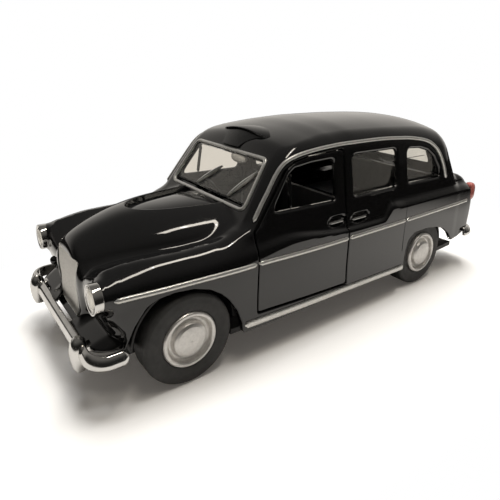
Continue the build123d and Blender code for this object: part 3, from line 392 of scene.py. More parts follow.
def clipped(mesh, cut):
    """Keeps the part of a triangle mesh where cut >= 0, splitting the triangles that cross it."""
    points, normals, tris = mesh
    d = cut(points)
    d[np.abs(d) < 1e-4] = 0.0
    keep = d >= 0
    n = keep[tris].sum(1)
    whole = tris[n == 3]
    mixed = tris[(n == 1) | (n == 2)]
    m = keep[mixed]
    odd = np.where((m.sum(1) == 1)[:, None], m, ~m).argmax(1)
    rows = np.arange(len(mixed))
    v0 = mixed[rows, odd]
    v1 = mixed[rows, (odd + 1) % 3]
    v2 = mixed[rows, (odd + 2) % 3]
    pairs = np.concatenate([np.stack([v0, v1], 1), np.stack([v0, v2], 1)])
    pairs = np.sort(pairs, axis=1)
    unique, inverse = np.unique(pairs, axis=0, return_inverse=True)
    inverse = inverse.ravel()
    a, b = unique[:, 0], unique[:, 1]
    span = d[a] - d[b]
    t = (d[a] / np.where(np.abs(span) < 1e-12, 1, span))[:, None]
    base = len(points)
    points = np.concatenate([points, points[a] + t * (points[b] - points[a])])
    mixed_normals = normals[a] + t * (normals[b] - normals[a])
    mixed_normals /= np.linalg.norm(mixed_normals, axis=1, keepdims=True)
    normals = np.concatenate([normals, mixed_normals])
    e01 = base + inverse[:len(mixed)]
    e02 = base + inverse[len(mixed):]
    one = keep[v0]
    parts = [whole, np.stack([v0, e01, e02], 1)[one]]
    two = ~one
    parts.append(np.stack([e01, v1, v2], 1)[two])
    parts.append(np.stack([e01, v2, e02], 1)[two])
    tris = np.concatenate(parts)
    used = np.unique(tris)
    order = np.full(len(points), -1)
    order[used] = np.arange(len(used))
    return points[used], normals[used], order[tris]


def with_lips(mesh, cuts, steps=3):
    """Rolls every trimmed edge over and runs it inwards, as the edge of a thick casting."""
    points, normals, tris = mesh
    edges = np.concatenate([tris[:, [0, 1]], tris[:, [1, 2]], tris[:, [2, 0]]])
    key = np.sort(edges, axis=1)
    _, first, count = np.unique(key, axis=0, return_index=True, return_counts=True)
    border = edges[first[count == 1]]
    ids = np.unique(border)
    local = np.full(len(points), -1)
    local[ids] = np.arange(len(ids))
    p, n = points[ids], normals[ids]
    values = np.stack([np.abs(c(p)) for c in cuts])
    owner = values.argmin(0)
    out = np.zeros_like(p)
    lip = np.zeros(len(ids))
    depth = np.zeros(len(ids))
    for k, cut in enumerate(cuts):
        mine = owner == k
        if not mine.any():
            continue
        g = gradient(cut, p[mine], 0.02)
        g -= (g * n[mine]).sum(1, keepdims=True) * n[mine]
        out[mine] = -g / np.maximum(np.linalg.norm(g, axis=1, keepdims=True), 1e-6)
        lip[mine] = cut.lip
        depth[mine] = cut.depth
    all_points, all_normals, all_tris = [points], [normals], [tris]
    rings = [ids]
    base = len(points)
    angles = [math.pi / 2 * (i + 1) / steps for i in range(steps)]
    for angle in angles + [None]:
        if angle is None:
            ring = p + lip[:, None] * out - depth[:, None] * n
            facing = out
        else:
            ring = p + lip[:, None] * (math.sin(angle) * out - (1 - math.cos(angle)) * n)
            facing = math.cos(angle) * n + math.sin(angle) * out
        all_points.append(ring)
        all_normals.append(facing)
        rings.append(base + np.arange(len(ids)))
        base += len(ids)
    for low, high in zip(rings, rings[1:]):
        a, b = low[local[border[:, 0]]], low[local[border[:, 1]]]
        c, d = high[local[border[:, 0]]], high[local[border[:, 1]]]
        all_tris.append(np.stack([b, a, c], 1))
        all_tris.append(np.stack([b, c, d], 1))
    return np.concatenate(all_points), np.concatenate(all_normals), np.concatenate(all_tris)


def merged(*meshes):
    """Several meshes as one, all with normals or all without."""
    points, normals, tris, base = [], [], [], 0
    for p, n, t in meshes:
        points.append(p)
        normals.append(n)
        tris.append(t + base)
        base += len(p)
    return np.concatenate(points), None if normals[0] is None else np.concatenate(normals), np.concatenate(tris)


def turned(mesh):
    """The same mesh seen from its other side."""
    p, n, t = mesh
    return p, -n, t[:, ::-1]


def mirrored(mesh):
    """The same mesh on the cab's other side."""
    p, n, t = mesh
    flip = np.array([1, -1, 1])
    return p * flip, None if n is None else n * flip, t[:, ::-1]


SHARP_DEGREES = 38


def make_object(name, mesh, material, body):
    """A Blender mesh in metres from points, normals and triangles."""
    points, normals, tris = mesh
    data = bpy.data.meshes.new(name)
    co = (points + np.array([SHIFT_X, 0, 0])) * MM
    data.vertices.add(len(co))
    data.vertices.foreach_set("co", co.astype(np.float32).ravel())
    data.loops.add(3 * len(tris))
    data.loops.foreach_set("vertex_index", tris.astype(np.int32).ravel())
    data.polygons.add(len(tris))
    data.polygons.foreach_set("loop_start", np.arange(0, 3 * len(tris), 3, dtype=np.int32))
    data.update(calc_edges=True)
    data.validate()
    data.shade_smooth()
    if normals is None:
        data.set_sharp_from_angle(angle=math.radians(SHARP_DEGREES))
    else:
        data.normals_split_custom_set_from_vertices(normals.astype(np.float32))
    data.materials.append(material)
    obj = bpy.data.objects.new(name, data)
    bpy.context.scene.collection.objects.link(obj)
    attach(obj, body)
    return obj


# Materials
def add_node(tree, kind, inputs=None, operation=None):
    """A shader node, each input set to a value or fed from another node's output."""
    node = tree.nodes.new("ShaderNode" + kind)
    if operation:
        node.operation = operation
    for socket, value in (inputs or {}).items():
        if isinstance(value, bpy.types.NodeSocket):
            tree.links.new(value, node.inputs[socket])
        else:
            node.inputs[socket].default_value = value
    return node


def material(name):
    """A new node material with its Principled shader and its object coordinates, in millimetres."""
    mat = bpy.data.materials.new(name)
    mat.use_nodes = True
    tree = mat.node_tree
    place = add_node(tree, "TexCoord").outputs["Object"]
    scaled = add_node(tree, "VectorMath", {0: place, "Scale": 1 / MM}, "SCALE")
    return mat, tree.nodes["Principled BSDF"], scaled.outputs[0]


def noise(mat, where, size, detail=3.0, rough=0.5):
    """Noise whose blotches are about size millimetres across."""
    inputs = {"Scale": 1 / size, "Detail": detail, "Roughness": rough, "Vector": where}
    return add_node(mat.node_tree, "TexNoise", inputs).outputs["Fac"]


def ramp(mat, value, stops):
    """A colour or value ramp. Each stop is a position and a grey or an RGB colour."""
    node = mat.node_tree.nodes.new("ShaderNodeValToRGB")
    elements = node.color_ramp.elements
    while len(elements) < len(stops):
        elements.new(0.5)
    for element, (position, colour) in zip(elements, stops):
        element.position = position
        rgb = (colour,) * 3 if isinstance(colour, (int, float)) else colour
        element.color = (*rgb, 1)
    mat.node_tree.links.new(value, node.inputs["Fac"])
    return node.outputs["Color"]


def bump(mat, shader, height, strength, distance):
    node = add_node(mat.node_tree, "Bump", {"Strength": strength, "Distance": distance * MM, "Height": height})
    mat.node_tree.links.new(node.outputs["Normal"], shader.inputs["Normal"])


def tint(mat, shader, value, stops, socket="Base Color"):
    mat.node_tree.links.new(ramp(mat, value, stops), shader.inputs[socket])


def look(name, colour, roughness, relief, sockets=None):
    """A material with noise in its colour, roughness and relief, each with its blotch size in millimetres first.

    Then come the stops of the colour or roughness, or the strength and depth of the relief, and last the detail and
    the harshness of the noise.
    """
    mat, shader, at = material(name)
    for (size, stops, *kind), socket in ((colour, "Base Color"), (roughness, "Roughness")):
        tint(mat, shader, noise(mat, at, size, *kind), stops, socket)
    size, strength, depth, *kind = relief
    bump(mat, shader, noise(mat, at, size, *kind), strength, depth)
    for socket, value in (sockets or {}).items():
        shader.inputs[socket].default_value = value
    return mat


def silver_paint(name, grey, rough, grain):
    """Metal-flake silver paint, a little uneven along its edges."""
    return look(name, (grain, [(0.3, tuple(0.82 * c for c in grey)), (0.7, grey)], 4, 0.6),
                (grain * 2, [(0.3, rough * 0.85), (0.7, rough * 1.2)]), (grain * 0.6, 0.3, 0.03), {"Metallic": 0.85})


def plastic(name, dark, light, rough):
    return look(name, (2.0, [(0.3, dark), (0.75, light)], 4), (1.5, [(0.3, rough * 0.85), (0.7, rough * 1.15)]),
                (0.3, 0.3, 0.02))


# Thick gloss black over a casting: a faint orange peel, fine dust and a deep clear layer
PAINT = look("black_paint", (0.28, [(0.0, (0.004, 0.004, 0.0042)), (0.74, (0.005, 0.005, 0.0052)),
                                    (0.80, (0.022, 0.021, 0.02))], 2, 0.6),
             (9, [(0.3, 0.045), (0.75, 0.1)], 4), (1.6, 0.25, 0.02, 2),
             {"Specular IOR Level": 0.5, "Coat Weight": 0.6, "Coat Roughness": 0.02})
# Vacuum plating on moulded plastic: bright, with soft waves
CHROME = look("chrome", (2.5, [(0.3, (0.74, 0.73, 0.71)), (0.7, (0.86, 0.85, 0.83))]),
              (1.2, [(0.3, 0.07), (0.8, 0.16)]), (2.2, 0.25, 0.05, 2), {"Metallic": 1.0})
# Dull moulded rubber with a dusty bloom
RUBBER = look("tyre", (3.0, [(0.25, (0.028, 0.028, 0.028)), (0.8, (0.050, 0.049, 0.047))], 5, 0.65),
              (1.0, [(0.3, 0.5), (0.7, 0.68)]), (0.35, 0.35, 0.02, 4, 0.7))
# Moulded clear panes and lenses, with faint flow marks
CLEAR = look("clear", (6.0, [(0.3, (0.93, 0.94, 0.94)), (0.7, (0.98, 0.98, 0.98))], 2),
             (4.0, [(0.3, 0.0), (0.8, 0.03)], 2), (5.0, 0.15, 0.05, 1), {"Transmission Weight": 1.0, "IOR": 1.46})
RED = look("red_lens", (1.2, [(0.3, (0.46, 0.13, 0.11)), (0.7, (0.60, 0.20, 0.17))]),
           (1.0, [(0.3, 0.08), (0.8, 0.2)], 2), (0.8, 0.2, 0.03, 2), {"Coat Weight": 0.8})
SILVER = silver_paint("silver_paint", (0.86, 0.85, 0.81), 0.33, 0.5)
GRILLE_SILVER = silver_paint("grille_silver", (0.88, 0.86, 0.82), 0.5, 0.35)
HUB_SILVER = silver_paint("hub_silver", (0.84, 0.82, 0.79), 0.36, 0.8)
STEEL = silver_paint("steel", (0.6, 0.6, 0.6), 0.3, 1.0)
BASE_PLASTIC = plastic("base_plastic", (0.012, 0.012, 0.012), (0.022, 0.022, 0.022), 0.5)
CABIN_PLASTIC = plastic("cabin_plastic", (0.010, 0.010, 0.011), (0.020, 0.020, 0.021), 0.45)
GLOSS_PLASTIC = plastic("black_gloss_plastic", (0.006, 0.006, 0.006), (0.011, 0.011, 0.011), 0.16)

NODE_MATERIALS = {
    "black_paint": PAINT, "base_plastic": BASE_PLASTIC, "cabin_plastic": CABIN_PLASTIC, "clear": CLEAR,
    "silver_paint": GRILLE_SILVER, "chrome": CHROME, "red_lens": RED, "black_gloss_plastic": GLOSS_PLASTIC,
    "steel": STEEL, "tyre": RUBBER, "hub_silver": HUB_SILVER,
}
for row in frame["record"]["subparts"]:
    node = frame["nodes"][row["node"]]
    node.data.materials.clear()
    node.data.materials.append(NODE_MATERIALS[row["material_slot"]])


# Trim lines of the casting
def left(p):
    return p[:, 1] > SIDE_FROM_Y


def both(p):
    return np.abs(p[:, 1]) > SIDE_FROM_Y


def ahead(p):
    return (p[:, 0] > 8) & (p[:, 2] > 26)


def behind(p):
    return (p[:, 0] < -38) & (p[:, 2] > 27)


def nose(p):
    return p[:, 0] > 50


WINDOW_SILL = 30.1
DOOR = rounded([(-2.4, 8.9), (24.9, 10.0), (24.7, 27.2), (23.3, 28.6), (15.4, 38.9), (13.0, 40.3), (9.2, 41.0),
                (-2.4, 41.6)], 0.5)
MAIN_WINDOW = rounded([(0.9, WINDOW_SILL), (0.9, 39.5), (8.0, 39.2), (12.9, 38.6), (14.7, 37.5), (19.6, 30.4)],
                      1.2)
REAR_DOOR_WINDOW = rounded([(-5.3, WINDOW_SILL), (-21.6, WINDOW_SILL), (-21.6, 39.7), (-5.3, 39.8)], 1.4)
REAR_QUARTER = rounded([(-26.3, 30.3), (-41.0, 30.3), (-40.6, 32.4), (-38.4, 35.8), (-35.4, 37.9), (-32.0, 38.9),
                        (-26.3, 39.3)], 1.5)
WINDSCREEN = rounded([(-15.3, 30.8), (-13.9, 39.8), (13.9, 39.8), (15.3, 30.8)], 1.4)
REAR_SCREEN = rounded([(-10.6, 31.4), (-9.6, 38.6), (9.6, 38.6), (10.6, 31.4)], 1.6)
GRILLE = rounded([(-5.4, 10.9), (-6.4, 23.3), (6.4, 23.3), (5.4, 10.9)], 1.1)
FRONT_ARCH = rounded([(28.4, 0), (28.7, 9.0), (29.8, 12.2), (31.7, 15.1), (33.5, 16.9), (35.9, 18.5), (39.4, 19.6),
                      (43.2, 19.8), (46.2, 19.3), (48.2, 18.2), (50.3, 14.9), (51.7, 11.8), (52.0, 10.8),
                      (60.0, 10.8), (60.0, 0)], 1.5)
REAR_ARCH = rounded([(-25.2, 0), (-25.3, 8.6), (-25.9, 11.8), (-26.9, 14.7), (-29.4, 16.2), (-35.0, 16.3),
                     (-39.8, 15.6), (-43.6, 14.5), (-47.0, 12.2), (-48.8, 9.8), (-49.0, 0)], 1.5)
LOWER_EDGE = np.array([(70, -9), (70, 9.7), (52.8, 9.7), (49.0, 8.4), (48.0, 7.0), (-46.0, 7.0), (-48.0, 9.0),
                       (-49.0, 9.6), (-52.5, 10.0), (-57.0, 11.4), (-70, 13.0), (-70, -9)])

WINDOW_LIP = 0.85
GAP_LIP = 0.22
windscreen_cut = Cut(WINDSCREEN, "front", ahead, 0.3)
rear_screen_cut = Cut(REAR_SCREEN, "front", behind, 0.4)
grille_cut = Cut(GRILLE, "front", nose, 0.2, depth=0.6)
edge_cut = Cut(LOWER_EDGE, "side", lambda p: p[:, 2] < 20, 0.3)
arch_cuts = [Cut(FRONT_ARCH, "side", both, 0.4), Cut(REAR_ARCH, "side", both, 0.2, depth=0.35)]
pane_cuts = [Cut(REAR_DOOR_WINDOW, "side", both, WINDOW_LIP), Cut(REAR_QUARTER, "side", both, WINDOW_LIP)]
SEAM = [(-24.2, 12.0), (-24.4, 12.0), (-24.6, 28.0), (-24.6, 42.3), (-24.4, 42.3), (-24.4, 28.0)]
seam_cut = Cut(SEAM, "side", both, 0.14, depth=0.8)
door_hole = Cut(DOOR, "side", both, GAP_LIP)
LEAF = rounded([(-1.95, 9.3), (24.6, 10.4), (24.4, 27.1), (23.1, 28.3), (15.2, 38.6), (12.9, 39.95), (9.1, 40.7),
                (-1.95, 41.3)], 0.5)
door_leaf = Cut(LEAF, "side", left, GAP_LIP, keep_inside=True)
door_windows = [Cut(MAIN_WINDOW, "side", left, WINDOW_LIP)]

# Within this of the axles there is no inner skin
LINING_RADIUS = 10.4
# Corners of the grid that the casting is found on
LOW = (-60.5, -24.5, 5.5)
HIGH = (58.0, 24.5, 48.5)


def casting():
    """The outside of the body and its two doors, each with rolled edges and an inner skin."""
    outer = surface(body_form, LOW, HIGH, GRID_STEP)
    inner = surface(lambda p: body_form(p) + WALL, LOW, HIGH, INNER_STEP)
    body_cuts = [windscreen_cut, rear_screen_cut, grille_cut, edge_cut, *arch_cuts, *pane_cuts, door_hole, seam_cut]
    shell = outer
    lining = inner
    for cut in body_cuts:
        shell = clipped(shell, cut)
        lining = clipped(lining, cut)
    for axle_x in (FRONT_AXLE_X, REAR_AXLE_X):
        lining = clipped(lining, lambda p: np.where(
            both(p), np.hypot(p[:, 0] - axle_x, p[:, 2] - AXLE_Z) - LINING_RADIUS, 50.0))
    body = merged(with_lips(shell, body_cuts), turned(lining))
    leaf, back = outer, inner
    for cut in [door_leaf] + door_windows:
        leaf = clipped(leaf, cut)
        back = clipped(back, cut)
    leaf = kept_where(leaf, left)
    back = kept_where(back, left)
    door = merged(with_lips(leaf, [door_leaf] + door_windows), turned(back))
    return body, door


def kept_where(mesh, test):
    """The triangles whose corners all pass a test."""
    p, n, t = mesh
    t = t[test(p)[t].all(1)]
    used = np.unique(t)
    order = np.full(len(p), -1)
    order[used] = np.arange(len(used))
    return p[used], n[used], order[t]


body_mesh, door_mesh = casting()
print("body triangles", len(body_mesh[2]), "door", len(door_mesh[2]))
body = make_object("body_casting", body_mesh, PAINT, "cab")
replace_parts(body, "body_shell")
left_door = make_object("door_casting_left", door_mesh, PAINT, "left_door")
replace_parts(left_door, "front_door_left")
right_door = make_object("door_casting_right", mirrored(door_mesh), PAINT, "right_door")
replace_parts(right_door, "front_door_right")


# Shapes swept through rings of points
def skin(rings, ends=True, loop=False):
    """A mesh through closed rings of points, facing outwards."""
    rings = np.asarray(rings, float)
    n, m, _ = rings.shape
    points = rings.reshape(-1, 3)
    tris = []
    for i in range(n if loop else n - 1):
        low = i * m + np.arange(m)
        high = ((i + 1) % n) * m + np.arange(m)
        tris.append(np.stack([low, np.roll(low, -1), np.roll(high, -1)], 1))
        tris.append(np.stack([low, np.roll(high, -1), high], 1))
    if ends:
        base = len(points)
        points = np.concatenate([points, [rings[0].mean(0), rings[-1].mean(0)]])
        first = np.arange(m)
        last = (n - 1) * m + np.arange(m)
        tris.append(np.stack([np.roll(first, -1), first, np.full(m, base)], 1))
        tris.append(np.stack([last, np.roll(last, -1), np.full(m, base + 1)], 1))
    tris = np.concatenate(tris)
    a, b, c = points[tris[:, 0]], points[tris[:, 1]], points[tris[:, 2]]
    if (np.cross(a, b) * c).sum() < 0:
        tris = tris[:, ::-1]
    return points, None, tris


def unit(v):
    """Vectors at length 1."""
    return v / np.maximum(np.linalg.norm(v, axis=-1, keepdims=True), 1e-9)


def lathe(profile, centre, axis, count=72):
    """A closed profile of (radius, distance along the axis) turned about an axis."""
    axis = unit(np.array(axis, float))
    first = unit(np.cross(axis, (0.3, 0.5, 0.8)))
    second = np.cross(axis, first)
    rings = []
    for a in np.linspace(0, 2 * math.pi, count, endpoint=False):
        out = math.cos(a) * first + math.sin(a) * second
        rings.append([np.array(centre) + r * out + d * axis for r, d in profile])
    return skin(rings, ends=False, loop=True)


def spaced(points, step):
    """Points along a smooth line through the given ones, evenly spaced."""
    points = np.array(points, float)
    at = np.concatenate([[0], np.cumsum(np.linalg.norm(np.diff(points, axis=0), axis=1))])
    axes = [curve(tuple(zip(at, points[:, k]))) for k in range(points.shape[1])]
    q = np.linspace(0, at[-1], max(int(at[-1] / step), 3))
    return np.stack([f(q) for f in axes], axis=1)


def bead(path, form, width, rise, closed=False, sink=0.25, tip=None, power=0.8):
    """A half-round moulding laid along a path on a form."""
    normal = unit(gradient(form, path))
    if closed:
        tangent = unit(np.roll(path, -1, axis=0) - np.roll(path, 1, axis=0))
        size = np.ones(len(path))
    else:
        tangent = unit(np.gradient(path, axis=0))
        at = np.concatenate([[0], np.cumsum(np.linalg.norm(np.diff(path, axis=0), axis=1))])
        near = np.clip(np.minimum(at, at[-1] - at) / (tip or width / 2), 0, 1)
        size = np.sqrt(np.maximum(1 - (1 - near) ** 2, 0.02))
    across = unit(np.cross(tangent, normal))
    rings = []
    for angle in np.linspace(0, math.pi, 9):
        rings.append(path + across * (width / 2 * math.cos(angle) * size)[:, None]
                     + normal * (rise * math.sin(angle) ** power * size)[:, None])
    rings.append(rings[-1] - normal * sink)
    rings.append(rings[0] - normal * sink)
    return skin(np.stack(rings, axis=1), ends=not closed, loop=closed)


def on_side(line):
    """Where the left side of the body is, for each (x, z)."""
    line = np.asarray(line, float)
    low, high = np.full(len(line), 6.0), np.full(len(line), 26.0)
    for _ in range(24):
        mid = (low + high) / 2
        inside = body_form(np.stack([line[:, 0], mid, line[:, 1]], 1)) < 0
        low, high = np.where(inside, mid, low), np.where(inside, high, mid)
    return np.stack([line[:, 0], low, line[:, 1]], 1)


def cabin_form(p):
    return greenhouse(p[..., 0], np.abs(p[..., 1]), p[..., 2])


def on_front(line):
    """Where the front of the cabin is, for each (y, z)."""
    line = np.asarray(line, float)
    low, high = np.full(len(line), 0.0), np.full(len(line), 40.0)
    for _ in range(24):
        mid = (low + high) / 2
        inside = cabin_form(np.stack([mid, line[:, 0], line[:, 1]], 1)) < 0
        low, high = np.where(inside, mid, low), np.where(inside, high, mid)
    return np.stack([low, line[:, 0], line[:, 1]], 1)


def both_sides(name, mesh, paint, body):
    """A piece on the left and its mirror image."""
    if body == "door":
        make_object(name + "_left", mesh, paint, "left_door")
        make_object(name + "_right", mirrored(mesh), paint, "right_door")
    else:
        make_object(name, merged(mesh, mirrored(mesh)), paint, body)


# Silver mouldings
GUTTER = [(23.9, 29.0), (21.8, 32.0), (19.6, 35.0), (17.7, 37.6), (16.2, 39.3), (14.9, 40.3), (13.3, 41.0),
          (9.4, 41.75), (3.0, 42.25), (-3.6, 42.5), (-14.0, 42.55), (-25.5, 42.05), (-31.0, 41.4), (-35.0, 40.5),
          (-38.7, 38.5), (-41.0, 35.9), (-42.6, 32.6), (-43.5, 29.4)]
both_sides("gutter", bead(on_side(spaced(GUTTER, 0.5)), body_form, 0.85, 0.5), SILVER, "cab")
frame_line = rounded([(-15.75, 30.35), (-14.35, 40.3), (14.35, 40.3), (15.75, 30.35)], 1.6)
make_object("windscreen_frame", bead(on_front(frame_line), cabin_form, 0.85, 0.4, closed=True), SILVER, "cab")
waist_line = curve(((-60.0, 21.15), (-25.0, 20.8), (-2.0, 20.75), (14.0, 20.95), (25.0, 21.2), (40.0, 21.15),
                    (54.0, 20.8)))
WAIST_LENGTHS = (("waist_front", 53.8, 25.2, "cab"), ("waist_door", 24.7, -2.0, "door"),
                 ("waist_rear_door", -2.5, -24.3, "cab"), ("waist_rear", -24.7, -55.6, "cab"))
for name, x0, x1, rides in WAIST_LENGTHS:
    line = [(x, float(waist_line(x))) for x in np.linspace(x0, x1, int(abs(x0 - x1) / 0.6))]
    both_sides(name, bead(on_side(line), body_form, 1.0, 0.42, tip=0.15), SILVER, rides)
line = [(x, 7.5 + 0.019 * (x + 25.3)) for x in np.linspace(28.2, -24.9, 90)]
both_sides("sill_strip", bead(on_side(line), body_form, 1.35, 0.4, power=0.3), SILVER, "cab")

# Door pulls: a bar across each dish
for (cx, cz, reach), name, rides in zip(DISH_AT, ("door_pull_front", "door_pull_rear"), ("door", "cab")):
    line = np.array([(cx + d * reach * 0.8, cz - 0.15) for d in np.linspace(-1, 1, 14)])
    path = np.stack([line[:, 0], plan_half(line[:, 0]) - STEP_IN - 0.3, line[:, 1]], axis=1)
    both_sides(name, bead(path, lambda p: p[..., 1], 0.7, 0.55, sink=0.7), CHROME, rides)

# The upright bar of the quarter light
bar_line = on_side([(14.3 - 0.02 * k, 30.2 + 0.42 * k) for k in range(19)])
bar_line[:, 1] -= 0.75
both_sides("quarter_bar", bead(bar_line, lambda p: p[..., 1], 0.55, 0.3, sink=0.5), PAINT, "door")

# Headlamps
LAMP_X = 56.9
BEZEL = rounded([(2.82, 0.0), (2.82, -1.5), (1.0, -1.5), (0.0, -1.5), (0.0, -1.2), (1.1, -1.08), (2.0, -0.6),
                 (2.36, -0.1), (2.5, 0.08), (2.75, 0.14)], 0.12, 3)
LENS = [(0.0, 0.42), (0.7, 0.38), (1.4, 0.27), (2.0, 0.07), (2.34, -0.14), (2.30, -0.24), (1.9, -0.1), (1.3, 0.1),
        (0.6, 0.2), (0.0, 0.22)]
for side_name, sign in (("left", 1), ("right", -1)):
    at = (LAMP_X, sign * LAMP_AT[0], LAMP_AT[1])
    ring = make_object("headlamp_ring_" + side_name, lathe(BEZEL, at, (1, 0, 0)), CHROME, "cab")
    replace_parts(ring, "headlamp_bezel_" + side_name)
    dome = make_object("headlamp_dome_" + side_name, lathe(LENS, at, (1, 0, 0)), CLEAR, "cab")
    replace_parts(dome, "headlamp_lens_" + side_name)
SIDELAMP = [(0.0, 1.25), (0.5, 1.15), (0.85, 0.85), (1.0, 0.4), (1.02, -0.8), (0.0, -0.8)]
sidelamp = lathe(SIDELAMP, (54.9, 13.2, 16.4), (1, 0, -0.12), 32)
make_object("sidelamp_domes", merged(sidelamp, mirrored(sidelamp)), PAINT, "cab")


# Bumpers: a D-section bar bent round the corners, with bulbous over-riders
BAR_HALF_DEPTH = 0.62
BAR_SECTION = ((-0.5, -1.3), (0.1, -1.28), (0.45, -1.15), (0.62, -0.9), (0.66, -0.6), (0.6, -0.2), (0.45, 0.3),
               (0.2, 0.8), (-0.1, 1.15), (-0.4, 1.3), (-0.7, 1.25), (-0.75, 0.0))


def bent_bar(face_x, facing, end_x, z, half_width, corner):
    cx = face_x - facing * (corner + BAR_HALF_DEPTH)
    side_y = half_width - BAR_HALF_DEPTH
    centre_y = side_y - corner
    plan = [(end_x + (cx - end_x) * t, side_y, 0.0) for t in np.linspace(0, 1, 8)[:-1]]
    for a in np.linspace(0, math.pi / 2, 14):
        plan.append((cx + facing * corner * math.sin(a), centre_y + corner * math.cos(a), a))
    plan += [(cx + facing * corner, y, math.pi / 2) for y in np.linspace(centre_y, 0, 20)[1:]]
    plan += [(x, -y, math.pi - a) for x, y, a in reversed(plan[:-1])]
    rings = []
    for k, (x, y, a) in enumerate(plan):
        out = np.array([facing * math.sin(a), math.cos(a), 0.0])
        edge = min(k, len(plan) - 1 - k)
        size = (0.45, 0.85, 1.0)[min(edge, 2)]
        rings.append([np.array([x, y, z]) + u * size * out + np.array([0, 0, v * size]) for u, v in BAR_SECTION])
    return skin(rings)


OVERRIDER = ((6.3, 0.5, 0.4), (6.6, 1.05, 0.9), (7.6, 1.45, 1.3), (9.2, 1.6, 1.55), (10.6, 1.55, 1.6),
             (11.8, 1.35, 1.4), (12.7, 1.0, 1.0), (13.15, 0.5, 0.45))

OVERRIDER_BAR_Z = 10.7
OVERRIDER_Y = 14.8


def overrider(x, y):
    rings = []
    for z, wide, deep in OVERRIDER:
        ring = []
        for a in np.linspace(0, 2 * math.pi, 28, endpoint=False):
            c, q = math.cos(a), math.sin(a)
            ring.append((x + deep * math.copysign(abs(c) ** 0.8, c), y + wide * math.copysign(abs(q) ** 0.8, q), z))
        rings.append(ring)
    return skin(rings)


def bracket(x0, x1, y, z):
    return skin([[(x, y + u, z + v) for u, v in rounded([(-1.1, -0.7), (1.1, -0.7), (1.1, 0.7), (-1.1, 0.7)], 0.3, 3)]
                 for x in (x0, x1)])


# Piece, node, face, direction, end, height, and where the over-riders and their brackets are
BUMPERS = (("front_bar", "front_bumper", 59.4, 1, 52.5, 10.7, 58.9, 53.3, 58.6),
           ("rear_bar", "rear_bumper", -61.1, -1, -55.0, 11.0, -60.6, -58.4, -60.4))
for name, node, face, facing, end, z, rider_x, near_x, far_x in BUMPERS:
    bar = bent_bar(face, facing, end, z, 22.6, 3.6)
    rise = z - OVERRIDER_BAR_Z
    riders = []
    for y in (OVERRIDER_Y, -OVERRIDER_Y):
        points, _, tris = overrider(rider_x, y)
        riders.append((points + np.array([0, 0, rise]), None, tris))
        riders.append(bracket(near_x, far_x, y, z))
    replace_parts(make_object(name, merged(bar, *riders), CHROME, "cab"), node)

# Wheels
TYRE_FACE_Y = {"front": 22.1, "rear": 21.5}
HUB_FACE_Y = {"front": 22.3, "rear": 22.2}
TYRE = rounded([(5.72, -6.15), (5.72, -0.25), (6.2, -0.12), (7.6, 0.0), (8.8, -0.06), (9.25, -0.4), (9.4, -1.0),
                (9.4, -4.9), (9.2, -5.4), (8.6, -6.0), (7.4, -6.15)], 0.7, 4)
HUB = rounded([(0.0, 0.35), (1.6, 0.3), (2.8, 0.14), (3.45, -0.12), (3.6, -0.5), (3.75, -1.2), (4.2, -1.3),
               (4.55, -1.0), (4.72, -0.3), (4.95, -0.06), (5.45, -0.08), (5.68, -0.4), (5.7, -2.0),
               (0.0, -2.0)], 0.2, 3)
for place, x in (("front", FRONT_AXLE_X), ("rear", REAR_AXLE_X)):
    for side_name, sign in (("left", 1), ("right", -1)):
        at = (x, sign * TYRE_FACE_Y[place], AXLE_Z)
        tyre = make_object(f"rubber_{place}_{side_name}", lathe(TYRE, at, (0, sign, 0), 96), RUBBER,
                           place + "_wheels")
        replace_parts(tyre, f"tyre_{place}_{side_name}")
        at = (x, sign * HUB_FACE_Y[place], AXLE_Z)
        rim = make_object(f"rim_{place}_{side_name}", lathe(HUB, at, (0, sign, 0), 80), HUB_SILVER, place + "_wheels")
        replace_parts(rim, f"hub_{place}_{side_name}")


# Wheel wells: an arched wall and a flat one behind the wheel, from a section of (radius, y)
WELL_SECTION = ((10.8, 20.3), (11.2, 20.3), (11.2, 13.0), (3.0, 13.0), (3.0, 13.5), (10.8, 13.5))


def wheel_well(x):
    rings = []
    for a in np.radians(np.linspace(3, 177, 50)):
        rings.append([(x + r * math.cos(a), y, AXLE_Z + r * math.sin(a))
                      for r, y in WELL_SECTION])
    return skin(rings)


for place, x in (("front", FRONT_AXLE_X), ("rear", REAR_AXLE_X)):
    well = wheel_well(x)
    make_object(place + "_wheel_wells", merged(well, mirrored(well)), BASE_PLASTIC, "cab")


# Grille: fine upright ribs
def ribbed_plate():
    rings = []
    heights = np.linspace(10.5, 24.0, 271)
    for y in np.linspace(-6.3, 6.3, 253):
        inside = outline_distance(np.stack([np.full(len(heights), y), heights], 1), GRILLE) < -0.05
        if not inside.any():
            continue
        low, high = heights[inside][0], heights[inside][-1]
        front = 55.62 + 0.08 * math.cos(2 * math.pi * y / 0.5)
        rings.append([(front + 0.15, y, low), (front - 0.1, y, high), (54.5, y, high), (54.5, y, low)])
    return skin(rings)


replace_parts(make_object("grille_ribs", ribbed_plate(), GRILLE_SILVER, "cab"), "grille")


# Tail lamps, roof sign, wipers and mirror
def pillow(centre, half, power=0.6, rows=14, count=28):
    """A rounded block."""
    rings = []
    for b in np.linspace(-math.pi / 2, math.pi / 2, rows):
        cb, sb = math.cos(b), math.sin(b)
        ring = []
        for a in np.linspace(0, 2 * math.pi, count, endpoint=False):
            c, q = math.cos(a), math.sin(a)
            wide = max(cb, 0.02) ** power
            ring.append((centre[0] + half[0] * wide * math.copysign(abs(c) ** power, c),
                         centre[1] + half[1] * wide * math.copysign(abs(q) ** power, q),
                         centre[2] + half[2] * math.copysign(abs(sb) ** power, sb)))
        rings.append(ring)
    return skin(rings)


